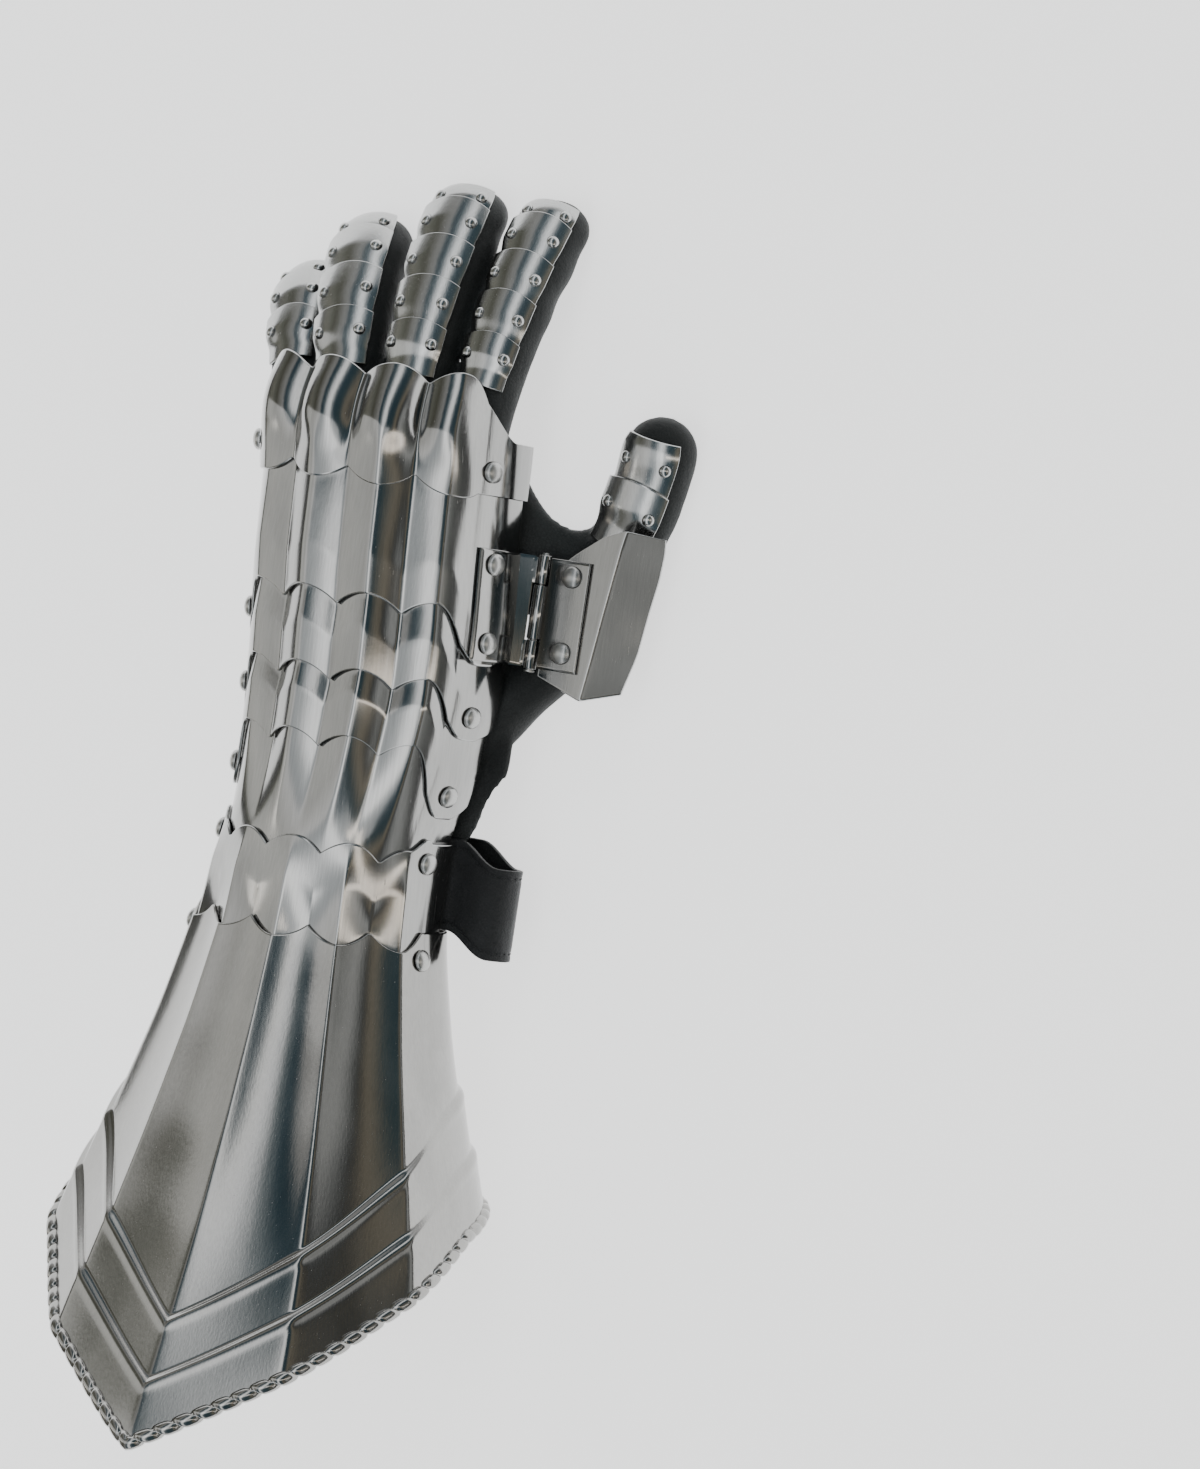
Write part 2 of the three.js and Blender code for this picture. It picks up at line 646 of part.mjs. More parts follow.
function gloveBody(inset, cuffEnd, sidesRound) {
  const rings = gloveSections.map((row, j) => {
    const y = row.y + (j === 0 ? cuffEnd : 0) - (j === gloveSections.length - 1 ? inset : 0);
    return roundAngles(sidesRound).map((psi) => {
      const s = Math.sin(psi * degrees);
      const c = Math.cos(psi * degrees);
      const z = ((c > 0 ? row.top : row.bottom) - inset) * c;
      const low = clamp((-z - slackFrom) / (row.bottom - slackFrom), 0, 1);
      const bulge = s > 0 ? row.thumbBulge * Math.sin(Math.PI * low) : 0;
      return new THREE.Vector3((row.halfWidth - inset) * s + bulge + asideAt(row.y), y, z);
    });
  });
  return tube(rings);
}
function glove() {
  const digits = [...fingers, thumb];
  const outsidePlaces = [-0.05, 0.3, 0.55, 0.78, 1];
  const insidePlaces = [-0.02, 0.5, 1];
  const outside = digits.reduce(
    (sum, digit) => sum.add(digitTube(digit, 0, outsidePlaces, 10)),
    gloveBody(0, 0, 20),
  );
  const inside = digits.reduce(
    (sum, digit) => sum.add(digitTube(digit, leather, insidePlaces, 6)),
    gloveBody(leather, -3, 14),
  );
  return outside.subtract(inside);
}
add("glove", glove(), darkLeather);

// ---- finger scales: each lies over the next one towards the tip, with a rivet near each side ----
const scaleLift = { finger: 0.5, thumb: 1 }; // looser over the thumb, whose scales swing with the guard
const scaleOverlap = 4;
const scaleHalfAngle = 46;
const scaleAngles = [-1, -0.5, 0, 0.5, 1].map((share) => share * scaleHalfAngle);
const dome = (foot, out) =>
  solid(
    turned(
      [
        [0, -0.6],
        [2.1, -0.3],
        [0, 1.4],
      ],
      5,
      foot,
      out,
    ),
  );
function scale(digit, from, to, isTip) {
  const bow = isTip ? 0 : 3;
  const rows = isTip ? [0, 0.3, 0.6, 0.85, 1] : [0, 0.3, 0.6, 1];
  const lowest = digit === thumb ? scaleLift.thumb : scaleLift.finger;
  const liftAt = (share) => lowest + (isTip ? 0.4 : layer) * clamp((share - 0.3) / 0.3, 0, 1);
  const reachAt = (psi, share) => {
    const reach = lerp(from, to, share) + bow * share * Math.cos(psi * 1.6 * degrees);
    return Math.min(reach, digit.length - 1.5);
  };
  const at = (thickness) => (psi, share) =>
    digitPoint(digit, reachAt(psi, share), psi, liftAt(share) + thickness);
  const body = solid(sheet(scaleAngles, rows, at(plateThickness), at(0)));
  const rivetShare = isTip ? 0.6 : 0.66;
  const rivetAt = (psi) => {
    const foot = digitPoint(digit, lerp(from, to, rivetShare), psi, liftAt(rivetShare) + plateThickness);
    const above = digitPoint(digit, lerp(from, to, rivetShare), psi, liftAt(rivetShare) + plateThickness + 1);
    return dome(foot, above.sub(foot).normalize());
  };
  return body.add(rivetAt(-30)).add(rivetAt(30));
}
// Scales from one place along a digit to just short of its tip.
function scales(digit, names, start) {
  const pitch = (digit.length - 2 - start) / names.length;
  names.forEach((name, i) => {
    const from = start + i * pitch - (i ? scaleOverlap : 0);
    add(name, scale(digit, from, start + (i + 1) * pitch, i === names.length - 1));
  });
}
const scalesStart = 14; // under the knuckle plate's front
for (const finger of fingers) {
  const names = Array.from({ length: finger.scales }, (_, i) => `${finger.name}_scale_${i + 1}`);
  scales(finger, names, scalesStart);
}
scales(thumb, ["thumb_strip", "thumb_tip"], 86);

// ---- wrist strap: a leather band that loops round under the wrist and stands out at the thumb side ----
// Its path across the arm, from inside the lames at the thumb side to inside them at the little side.
const strapPath = [
  [35.7, 6],
  [35.8, -2],
  [36.6, -9],
  [42, -13],
  [54, -13],
  [60, -16],
  [62, -22],
  [58, -29],
  [46, -32],
  [20, -32],
  [-10, -31],
  [-26.5, -26],
  [-33.7, -14],
  [-34.1, -5],
  [-34, 6],
];
const strapSlant = 8; // how far the loop outside the wrist hangs towards the cuff
const strapFrom = -25;
const strapTo = 7;
function strap() {
  const path = strapPath.map(([x, z]) => new THREE.Vector3(x, 0, z));
  const outward = path.map((p, i) => {
    const along = path[Math.min(i + 1, path.length - 1)].clone().sub(path[Math.max(i - 1, 0)]).normalize();
    return new THREE.Vector3(-along.z, 0, along.x);
  });
  const columns = path.map((_, i) => i);
  const slantAt = (i) => -strapSlant * ease(path[i].x, 42, 58) * ease(-path[i].z, 0, 11);
  const at = (lift) => (i, y) => path[i].clone().addScaledVector(outward[i], lift).setY(y + slantAt(i));
  return solid(sheet(columns, [strapFrom, strapTo], at(leather / 2), at(-leather / 2)));
}
add("wrist_strap", strap(), darkLeather);

// ---- the arm lies on its cuff and fingertips ----
arm.rotation.x = -rest.pitchDeg * degrees;
arm.position.set(rest.shiftX, rest.shiftY, rest.lift);
const gauntlet = new THREE.Group();
gauntlet.add(arm);
export default gauntlet;
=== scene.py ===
import math
import bpy
import numpy as np
from mathutils import Matrix, Vector

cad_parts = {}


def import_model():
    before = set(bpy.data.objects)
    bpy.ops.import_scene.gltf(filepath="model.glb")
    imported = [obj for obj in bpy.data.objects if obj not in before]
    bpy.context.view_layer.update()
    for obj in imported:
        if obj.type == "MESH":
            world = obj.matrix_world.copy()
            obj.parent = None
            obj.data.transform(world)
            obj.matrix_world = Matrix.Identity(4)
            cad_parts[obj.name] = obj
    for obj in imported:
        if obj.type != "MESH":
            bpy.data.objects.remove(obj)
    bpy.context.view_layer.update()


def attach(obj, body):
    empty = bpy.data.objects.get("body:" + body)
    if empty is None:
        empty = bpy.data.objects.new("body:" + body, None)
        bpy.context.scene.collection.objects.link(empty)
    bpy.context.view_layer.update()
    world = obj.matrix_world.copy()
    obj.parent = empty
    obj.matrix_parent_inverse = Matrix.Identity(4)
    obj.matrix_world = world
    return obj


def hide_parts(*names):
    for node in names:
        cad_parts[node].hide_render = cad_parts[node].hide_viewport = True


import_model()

# The visual gauntlet is cut from the same tables as its solids, in millimetres in the arm's own frame
# (+Y to the fingertips, +X to the thumb, +Z out of the back of the hand), then turned and moved to
# where the arm lies. Angles round the arm are in degrees from the back of the hand, positive to the thumb.
PLATE = 1.2
GAP = 0.4
LAYER = PLATE + GAP
LEATHER = 2.0
OVERLAP = 14.0
LAME_EDGE = 98.0
CUFF_END, KNUCKLE_END = -206, 168
PITCH = math.radians(5.25)
SHIFT_X, SHIFT_Y, LIFT = -13.92, -17.1, 49.06

# y, half width, height above the axis, depth below it
SECTIONS = np.array([
    (-206, 86, 82, 78), (-170, 79, 69, 70), (-135, 69.5, 57, 57), (-100, 59, 47, 47), (-65, 49, 39, 38),
    (-31, 41.5, 33, 33), (0, 37.5, 31, 34), (34, 40.5, 32, 40), (60, 43, 33, 44), (100, 44.5, 34, 46),
    (130, 45.5, 35, 46), (148, 46.5, 35, 46), (158, 45.5, 31, 46), (168, 43, 24, 46)], float)
# y, depth of the hand flutes, depth of the cuff flutes
FLUTES = np.array([
    (-206, 0, 1.2), (-150, 0, 1.5), (-100, 0, 1.8), (-31, 0, 1.5), (-12, 0, 1.0), (2, 0, 0), (10, 0.7, 0),
    (34, 2, 0), (130, 2, 0), (148, 3.6, 0), (160, 3.4, 0), (168, 2.4, 0)], float)
# y, how far the sections lie towards the thumb, whose base the lames bulge over
THUMBWARD = np.array([(-31, 0), (0, 1), (22, 4), (50, 6), (76, 5), (100, 3.2), (134, 1.5), (150, 0)], float)
# angle from the middle, -1 in a valley and 1 on a ridge
HAND_WAVE = np.array([(0, -1), (15, 1), (30, -1), (46, 1), (62, 0), (180, 0)], float)
CUFF_WAVE = np.array([(0, 1), (15, -1), (30, 1), (46, -1), (62, 1), (80, 0), (180, 0)], float)


def softened(table, column, low, high, step, spread):
    """A column of a table as a fine table, straight between its rows and then rounded with a bell."""
    x = np.arange(low - 6 * spread, high + 6 * spread, step)
    y = np.interp(x, table[:, 0], table[:, column])
    reach = int(3 * spread / step)
    bell = np.exp(-0.5 * (np.arange(-reach, reach + 1) * step / spread) ** 2)
    return x, np.convolve(np.pad(y, reach, mode="edge"), bell / bell.sum(), "valid")


WAVE_STEP = 0.1
WAVE_ANGLES = np.arange(-180, 180.05, WAVE_STEP)


def rounded_wave(values, spread):
    """A wave over WAVE_ANGLES with its creases rounded by a small bell."""
    reach = int(30 * spread)
    bell = np.exp(-0.5 * (np.arange(-reach, reach + 1) * WAVE_STEP / spread) ** 2)
    return WAVE_ANGLES, np.convolve(np.pad(values, reach, mode="reflect"), bell / bell.sum(), "valid")


def wave_table(table, spread):
    """A table's wave, mirrored at 0 so that a crease there stays a crease."""
    return rounded_wave(np.interp(np.abs(WAVE_ANGLES), table[:, 0], table[:, 1]), spread)


def arched_wave(table, high, spread):
    """The same rows joined by arches. With high each ridge is a dome between sharp valleys, and without
    it each valley is a flat facet between sharp ridges."""
    side = np.abs(WAVE_ANGLES)
    wave = np.interp(side, table[:, 0], table[:, 1])
    bent = 1 - (1 - wave) ** 2 / 2 if high else (1 + wave) ** 2 / 2 - 1
    last_crease = table[np.abs(table[:, 1]) == 1][-1, 0]
    return rounded_wave(np.where(side <= last_crease, bent, wave), spread)


SECTION_AT = [softened(SECTIONS, c, CUFF_END, KNUCKLE_END, 0.5, 6.5) for c in (1, 2, 3)]
FLUTE_AT = [softened(FLUTES, c, CUFF_END, KNUCKLE_END, 0.5, 3.5) for c in (1, 2)]
THUMBWARD_AT = softened(THUMBWARD, 1, CUFF_END, KNUCKLE_END, 0.5, 6.5)
HAND_WAVE_AT = wave_table(HAND_WAVE, 1.1)
BOSS_WAVE_AT = arched_wave(HAND_WAVE, True, 0.7)
CUFF_WAVE_AT = arched_wave(CUFF_WAVE, False, 0.7)


def ease(x, a, b):
    """0 up to a, 1 from b on, and a soft step between."""
    t = np.clip((x - a) / (b - a), 0, 1)
    return t * t * (3 - 2 * t)


def lerp(a, b, t):
    return a + (b - a) * t


def skin(y, phi, lift):
    """The surface that every plate is cut from, at y along the arm and phi round it, lift outside it."""
    y, phi, lift = np.broadcast_arrays(*(np.asarray(v, float) for v in (y, phi, lift)))
    side = np.abs(phi)
    a = np.interp(y, *SECTION_AT[0])
    b = np.where(side <= 90, np.interp(y, *SECTION_AT[1]), np.interp(y, *SECTION_AT[2]))
    s, c = np.sin(np.radians(phi)), np.cos(np.radians(phi))
    # the lower half is squarer, and flat below
    z = np.where(side <= 90, b * c, -b * np.minimum(1, 1.045 * np.abs(c) ** 0.8))
    # at the knuckles the hand's flutes turn into bosses
    flutes = lerp(np.interp(side, *HAND_WAVE_AT), np.interp(side, *BOSS_WAVE_AT), ease(y, 133, 147))
    wave = np.interp(y, *FLUTE_AT[0]) * flutes
    wave = wave + np.interp(y, *FLUTE_AT[1]) * np.interp(side, *CUFF_WAVE_AT)
    # towards the flat part, out turns straight down
    out_x, out_z = (s / a) * (1 - ease(side, 147, 163)), c / b
    out = (lift + wave) / np.hypot(out_x, out_z)
    return np.stack([a * s + np.interp(y, *THUMBWARD_AT) + out_x * out, y, z + out_z * out], -1)


def skin_out(y, phi):
    """The skin's outward direction."""
    along = skin(y + 1, phi, 0) - skin(y - 1, phi, 0)
    around = skin(y, phi + 1, 0) - skin(y, phi - 1, 0)
    out = np.cross(around, along)
    return out / np.linalg.norm(out, axis=-1, keepdims=True)


def world(points):
    """From the arm's frame in millimetres to the row frame in metres."""
    p = np.asarray(points, float)
    y = p[..., 1] * math.cos(PITCH) + p[..., 2] * math.sin(PITCH)
    z = p[..., 2] * math.cos(PITCH) - p[..., 1] * math.sin(PITCH)
    return np.stack([p[..., 0] + SHIFT_X, y + SHIFT_Y, z + LIFT], -1) / 1000


# ---- edges of the plates, each a place along the arm for an angle round it ----
SCALLOP, RIDGE_SPAN = 5.0, 15.0
HAND_RIDGES, CUFF_RIDGES = (15, 46), (0, 30, 62)
RIM_SLOPE, RIM_SIDE, RIM_ROUND = 0.95, 90, 12


def arcs(phi, middles):
    """A row of arcs, 1 at each middle and 0 where the span round it ends."""
    near = np.min([np.abs(np.abs(phi) - m) for m in middles], axis=0) / RIDGE_SPAN
    return 1 - np.minimum(near, 1) ** 2


def lobed(y, drop):
    """The wrist-side edge of a lame, scalloped over the hand and drooping in a lobe at both sides."""
    def edge(phi):
        side = np.abs(phi)
        lobe = (drop - SCALLOP) * ease(side, 46, 74) - drop * 0.35 * ease(side, 84, 110)
        return y - SCALLOP + SCALLOP * arcs(phi, HAND_RIDGES) - lobe
    return edge


def knuckle_back(phi):
    return 129 - SCALLOP * arcs(phi, HAND_RIDGES) - 3 * ease(np.abs(phi), 46, 62)


def knuckle_front(phi):
    return 161 + 5 * arcs(phi, HAND_RIDGES) - 16 * ease(np.abs(phi), 50, 84)


def wrist_lame_edge(phi):
    return -3 + SCALLOP * arcs(phi, CUFF_RIDGES) + 8 * ease(np.abs(phi), 62, 76)


def cuff_top(phi):
    return -28 - SCALLOP * arcs(phi, CUFF_RIDGES) + 2 * ease(np.abs(phi), 62, 76)


def cuff_rim(phi):
    """Peaked on top, slanting back to both sides, and level under the arm."""
    bend = RIM_ROUND * np.log1p(np.exp((RIM_SIDE - np.abs(phi)) / RIM_ROUND))
    return CUFF_END + RIM_SLOPE * (RIM_SIDE - bend)


metacarpal_edge, lame_1_edge, lame_2_edge = lobed(87, 19), lobed(61, 19), lobed(38, 24)


def beyond(edge, distance):
    return lambda phi: edge(phi) + distance


# ---- meshes ----
# edges that bend more than this look sharp on the small turned pieces, the leaves and the strap
SHARP_ANGLE = 50


def new_object(name, vertices, faces, material, body, slot_name, nodes, smooth_angle=None, marks=None):
    """A piece from vertices in millimetres and faces, in the row frame, none of it below the floor. marks
    says how worn each vertex is, from 0 to 1."""
    mesh = bpy.data.meshes.new(name)
    placed = world(vertices)
    placed[:, 2] = np.maximum(placed[:, 2], 0)
    mesh.from_pydata(placed.tolist(), [], [list(map(int, f)) for f in faces])
    mesh.validate()
    mesh.shade_smooth()
    if smooth_angle:
        mesh.set_sharp_from_angle(angle=math.radians(smooth_angle))
    if marks is not None:
        layer = mesh.attributes.new("edge_near", "FLOAT", "POINT")
        layer.data.foreach_set("value", np.asarray(marks, np.float32))
    obj = bpy.data.objects.new(name, mesh)
    bpy.context.scene.collection.objects.link(obj)
    mesh.materials.append(material)
    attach(obj, body)
    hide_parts(*nodes)


def perimeter(n, m):
    """Indices round a grid of n columns by m rows, in the order of its border."""
    low = list(range(n))
    right = [j * n + n - 1 for j in range(1, m)]
    high = [(m - 1) * n + i for i in range(n - 2, -1, -1)]
    left = [j * n for j in range(m - 2, 0, -1)]
    return np.array(low + right + high + left)


def grid_faces(n, m, start=0, flip=False, around=False):
    """Quads over a grid of n columns by m rows; around closes it from the last column to the first."""
    i, j = np.meshgrid(np.arange(n if around else n - 1), np.arange(m - 1))
    i, j = i.ravel(), j.ravel()
    k = (i + 1) % n
    f = np.stack([j * n + i, j * n + k, (j + 1) * n + k, (j + 1) * n + i], -1) + start
    return (f[:, ::-1] if flip else f).tolist()


def bridge(a, b):
    """Quads between two closed loops of the same length."""
    a2, b2 = np.roll(a, -1), np.roll(b, -1)
    return np.stack([a, b, b2, a2], -1).tolist()


def plate_mesh(us, vs, at, inset_u, inset_v, thickness=PLATE, bevel=0.3):
    """A plate over the grid us by vs, with a small bevel all round. at(u, v, lift) gives its points. The
    insets are how far in u and v the flat starts from the edge."""
    us, vs = np.asarray(us, float), np.asarray(vs, float)
    in_u, in_v = us.copy(), vs.copy()
    in_u[0] += inset_u
    in_u[-1] -= inset_u
    in_v[0] += inset_v
    in_v[-1] -= inset_v
    n, m = len(us), len(vs)
    grid_u, grid_v = (g.ravel() for g in np.meshgrid(in_u, in_v))
    full_u, full_v = (g.ravel() for g in np.meshgrid(us, vs))
    edge = perimeter(n, m)
    top = at(grid_u, grid_v, np.full(n * m, thickness))
    high = at(full_u[edge], full_v[edge], np.full(len(edge), thickness - bevel))
    low = at(full_u[edge], full_v[edge], np.full(len(edge), bevel))
    under = at(grid_u, grid_v, np.zeros(n * m))
    start_high = n * m
    start_low = start_high + len(edge)
    start_under = start_low + len(edge)
    ring = np.arange(len(edge))
    faces = grid_faces(n, m)
    faces += bridge(edge, ring + start_high)
    faces += bridge(ring + start_high, ring + start_low)
    faces += bridge(ring + start_low, edge + start_under)
    faces += grid_faces(n, m, start_under, flip=True)
    vertices = np.vstack([top, high, low, under])
    # the outermost vertices are worn
    border = np.zeros(n * m, bool)
    border[edge] = True
    marks = np.concatenate([border, np.ones(2 * len(edge)), border]).astype(float)
    return vertices, outward(vertices, faces), marks


def outward(vertices, faces):
    """The faces turned so that the closed surface they make has its outside out."""
    v = np.asarray(vertices)
    total = 0.0
    for f in faces:
        for a, b in zip(f[1:-1], f[2:]):
            total += np.dot(v[f[0]], np.cross(v[a], v[b]))
    return faces if total >= 0 else [f[::-1] for f in faces]


def closed_tube(rings, first_end, last_end):
    """A tube through rings of points, closed by a fan to a point at either end."""
    count, sides = len(rings), len(rings[0])
    vertices = np.vstack(rings + [first_end, last_end])
    faces = grid_faces(sides, count, around=True)
    for i in range(sides):
        k = (i + 1) % sides
        faces.append([count * sides, k, i])
        faces.append([count * sides + 1, (count - 1) * sides + i, (count - 1) * sides + k])
    return vertices, outward(vertices, faces)


def turned_mesh(profile, foot, out, sides=28):
    """A turned shape through a profile of (radius, height), whose first and last points lie on the axis."""
    out = np.asarray(out, float) / np.linalg.norm(out)
    a = np.cross(out, (0, 1, 0) if abs(out[1]) < 0.9 else (1, 0, 0))
    a /= np.linalg.norm(a)
    b = np.cross(out, a)
    turn = np.arange(sides) * 2 * math.pi / sides
    foot = np.asarray(foot)
    rings = [foot + h * out + r * (np.cos(turn)[:, None] * a + np.sin(turn)[:, None] * b)
             for r, h in profile[1:-1]]
    return closed_tube(rings, foot + profile[0][1] * out, foot + profile[-1][1] * out)


def joined(parts):
    """Several (vertices, faces) as one."""
    vertices, faces, start = [], [], 0
    for v, f in parts:
        vertices.append(v)
        faces += [[start + i for i in face] for face in f]
        start += len(v)
    return np.vstack(vertices), faces


def packed_rows(low, high, step, close):
    """Places from low to high, about a step apart, and closer at both ends, by the distances in close."""
    inner = np.linspace(low + close[1], high - close[1], max(3, int((high - low) / step)))
    return np.concatenate([[low, low + close[0]], inner, [high - close[0], high]])


def crease_angles(limit, step=1.5):
    """Angles round the arm from -limit to limit, closer together at the creases."""
    base = np.arange(-limit, limit + 0.01, step)
    near = [s * c + d for c in (0, 15, 30, 46, 62) for s in (-1, 1)
            for d in (-1.7, -1.15, -0.75, -0.4, 0, 0.4, 0.75, 1.15, 1.7)]
    kept = base[[all(abs(b - n) > 0.45 for n in near) for b in base]]
    every = np.unique(np.round(np.concatenate([kept, near]), 3))
    every = every[np.abs(every) <= limit - 0.7]
    return np.concatenate([[-limit, -limit + 0.5], every, [limit - 0.5, limit]])


# ---- materials ----
def node(tree, kind, inputs=None, **settings):
    made = tree.nodes.new(kind)
    for key, value in settings.items():
        setattr(made, key, value)
    for key, value in (inputs or {}).items():
        made.inputs[key].default_value = value
    return made


def ramp(tree, source, stops):
    """A colour ramp of (place, grey or colour) stops, fed by source."""
    made = tree.nodes.new("ShaderNodeValToRGB")
    while len(made.color_ramp.elements) < len(stops):
        made.color_ramp.elements.new(0.5)
    for element, (place, colour) in zip(made.color_ramp.elements, stops):
        element.position = place
        element.color = (*colour, 1) if hasattr(colour, "__len__") else (colour, colour, colour, 1)
    tree.links.new(source, made.inputs[0])
    return made.outputs["Color"]


def noise(tree, coordinates, scale, detail=2.0, stretch=(1, 1, 1), distortion=0.0):
    """Noise over the object's own metres; stretch multiplies the scale along each axis."""
    mapping = node(tree, "ShaderNodeMapping", {"Scale": tuple(scale * s for s in stretch)})
    tree.links.new(coordinates, mapping.inputs["Vector"])
    made = node(tree, "ShaderNodeTexNoise", {"Scale": 1.0, "Detail": detail, "Distortion": distortion})
    tree.links.new(mapping.outputs[0], made.inputs["Vector"])
    return made.outputs["Fac"]


def mixed(tree, kind, factor, a, b):
    made = node(tree, "ShaderNodeMix", data_type="RGBA", blend_type=kind)
    for socket, value in ((made.inputs["Factor"], factor), (made.inputs["A"], a), (made.inputs["B"], b)):
        if isinstance(value, bpy.types.NodeSocket):
            tree.links.new(value, socket)
        else:
            socket.default_value = value
    return made.outputs["Result"]


def maths(tree, kind, *values):
    made = node(tree, "ShaderNodeMath", operation=kind)
    for socket, value in zip(made.inputs, values):
        if isinstance(value, bpy.types.NodeSocket):
            tree.links.new(value, socket)
        else:
            socket.default_value = value
    return made.outputs[0]


def new_material(name):
    material = bpy.data.materials.new(name)
    material.use_nodes = True
    tree = material.node_tree
    tree.nodes.clear()
    out = node(tree, "ShaderNodeOutputMaterial")
    shader = node(tree, "ShaderNodeBsdfPrincipled")
    tree.links.new(shader.outputs[0], out.inputs["Surface"])
    coordinates = node(tree, "ShaderNodeTexCoord").outputs["Object"]
    return material, tree, shader, coordinates


WORN_STEEL = (0.6, 0.61, 0.615, 1)
RUBBED_LEATHER = (0.035, 0.043, 0.042)


def steel(name, base=(0.38, 0.379, 0.372), rough=(0.1, 0.22), brush=0.35, along=(1, 0.035, 1)):
    """Polished sheet steel: lengthwise polishing marks, hair scratches, faint smears, paler worn edges."""
    material, tree, shader, at = new_material(name)
    shader.inputs["Metallic"].default_value = 1.0
    marks = noise(tree, at, 1500, 2.5, along)
    smears = noise(tree, at, 28, 4.0, (1, 0.5, 1), 0.6)
    pits = noise(tree, at, 420, 2.0)
    hairs = noise(tree, at, 2600, 1.0, (1, 0.008, 1), 0.15)
    edge = node(tree, "ShaderNodeAttribute", attribute_name="edge_near").outputs["Fac"]
    darker, lighter = (tuple(k * c for c in base) for k in (0.86, 1.06))
    tone = ramp(tree, smears, [(0.32, darker), (0.55, base), (0.78, lighter)])
    streaked = mixed(tree, "MULTIPLY", 0.5, tone, ramp(tree, marks, [(0.3, 0.82), (0.7, 1.0)]))
    worn = mixed(tree, "MIX", maths(tree, "MULTIPLY", edge, 0.35), streaked, WORN_STEEL)
    tree.links.new(worn, shader.inputs["Base Color"])
    low, high = rough
    rubbed = ramp(tree, smears, [(0.25, low), (0.6, lerp(low, high, 0.45)), (0.85, high)])
    scored = mixed(tree, "LIGHTEN", 1.0, rubbed, ramp(tree, hairs, [(0.72, 0.0), (0.8, high + 0.16)]))
    tree.links.new(scored, shader.inputs["Roughness"])
    height = maths(tree, "ADD", maths(tree, "MULTIPLY", marks, 0.55), maths(tree, "MULTIPLY", pits, 0.25))
    bump = node(tree, "ShaderNodeBump", {"Strength": brush, "Distance": 0.00006})
    tree.links.new(height, bump.inputs["Height"])
    tree.links.new(bump.outputs[0], shader.inputs["Normal"])
    return material


def black_leather(name, base=(0.012, 0.014, 0.014), grain=900, rough=(0.42, 0.66)):
    """Dark worn leather: pebbled grain, fine creases, and a dull green-black that is paler where rubbed."""
    material, tree, shader, at = new_material(name)
    shader.inputs["Specular IOR Level"].default_value = 0.3
    cells = node(tree, "ShaderNodeTexVoronoi", {"Scale": grain}, feature="DISTANCE_TO_EDGE")
    tree.links.new(at, cells.inputs["Vector"])
    folds = noise(tree, at, 160, 3.0, (1, 0.6, 1), 1.2)
    cloud = noise(tree, at, 30, 3.0)
    lighter = tuple(1.7 * c for c in base)
    tone = ramp(tree, cloud, [(0.3, base), (0.6, lighter), (0.85, RUBBED_LEATHER)])
    seams = ramp(tree, cells.outputs["Distance"], [(0.0, 0.45), (0.12, 1.0)])
    grained = mixed(tree, "MULTIPLY", 0.6, tone, seams)
    tree.links.new(grained, shader.inputs["Base Color"])
    tree.links.new(ramp(tree, cloud, [(0.3, rough[1]), (0.75, rough[0])]), shader.inputs["Roughness"])
    pebbles = ramp(tree, cells.outputs["Distance"], [(0.0, 0.0), (0.16, 1.0)])
    fine = node(tree, "ShaderNodeBump", {"Strength": 0.45, "Distance": 0.0002})
    tree.links.new(pebbles, fine.inputs["Height"])
    broad = node(tree, "ShaderNodeBump", {"Strength": 0.5, "Distance": 0.0008})
    tree.links.new(folds, broad.inputs["Height"])
    tree.links.new(broad.outputs[0], fine.inputs["Normal"])
    tree.links.new(fine.outputs[0], shader.inputs["Normal"])
    return material


PLATE_STEEL = steel("polished_plate_steel")
CUFF_STEEL = steel("polished_cuff_steel", (0.37, 0.366, 0.355), (0.1, 0.24), 0.4, (1, 0.03, 1))
# the scales' steel has a paler base than the plates' steel: painted brightness that stands in for the
# brighter reflections the bent fingers catch
SCALE_STEEL_PAINTED_PALER = steel("scale_steel_painted_paler", (0.5, 0.504, 0.5), (0.15, 0.3), 0.45, (1, 0.2, 1))
RIVET_STEEL = steel("rivet_steel", (0.5, 0.5, 0.49), (0.32, 0.4), 0.2, (1, 1, 1))
GLOVE_LEATHER = black_leather("glove_leather")
STRAP_LEATHER = black_leather("strap_leather", (0.01, 0.011, 0.012), 1100, (0.38, 0.58))

# ---- lames and plates of the wrist and hand ----
LAME_ANGLES = crease_angles(LAME_EDGE)
# the rows next to both ends of a lame, as shares of its length
END_ROWS = (0.012, 0.03)
# how far in, in degrees, the flat of a lame starts from its sides
BEVEL_ANGLE = 0.45


def lame(name, wrist_edge, finger_edge, wrist_layer, finger_layer, rows=26, bevel_share=0.006):
    """A lame between two edges, lying in the layer given at each. It changes layer between its overlaps."""
    places = packed_rows(0, 1, 1 / rows, END_ROWS)

    def at(phi, share, lift):
        low, high = wrist_edge(phi), finger_edge(phi)
        between = np.maximum(high - low - 2 * OVERLAP, 1e-6)
        step = np.clip((share * (high - low) - OVERLAP) / between, 0, 1)
        return skin(lerp(low, high, share), phi, lerp(wrist_layer, finger_layer, step) + lift)

    vertices, faces, marks = plate_mesh(LAME_ANGLES, places, at, BEVEL_ANGLE, bevel_share)
    new_object("steel_" + name, vertices, faces, PLATE_STEEL, "hand", "steel", [name], marks=marks)


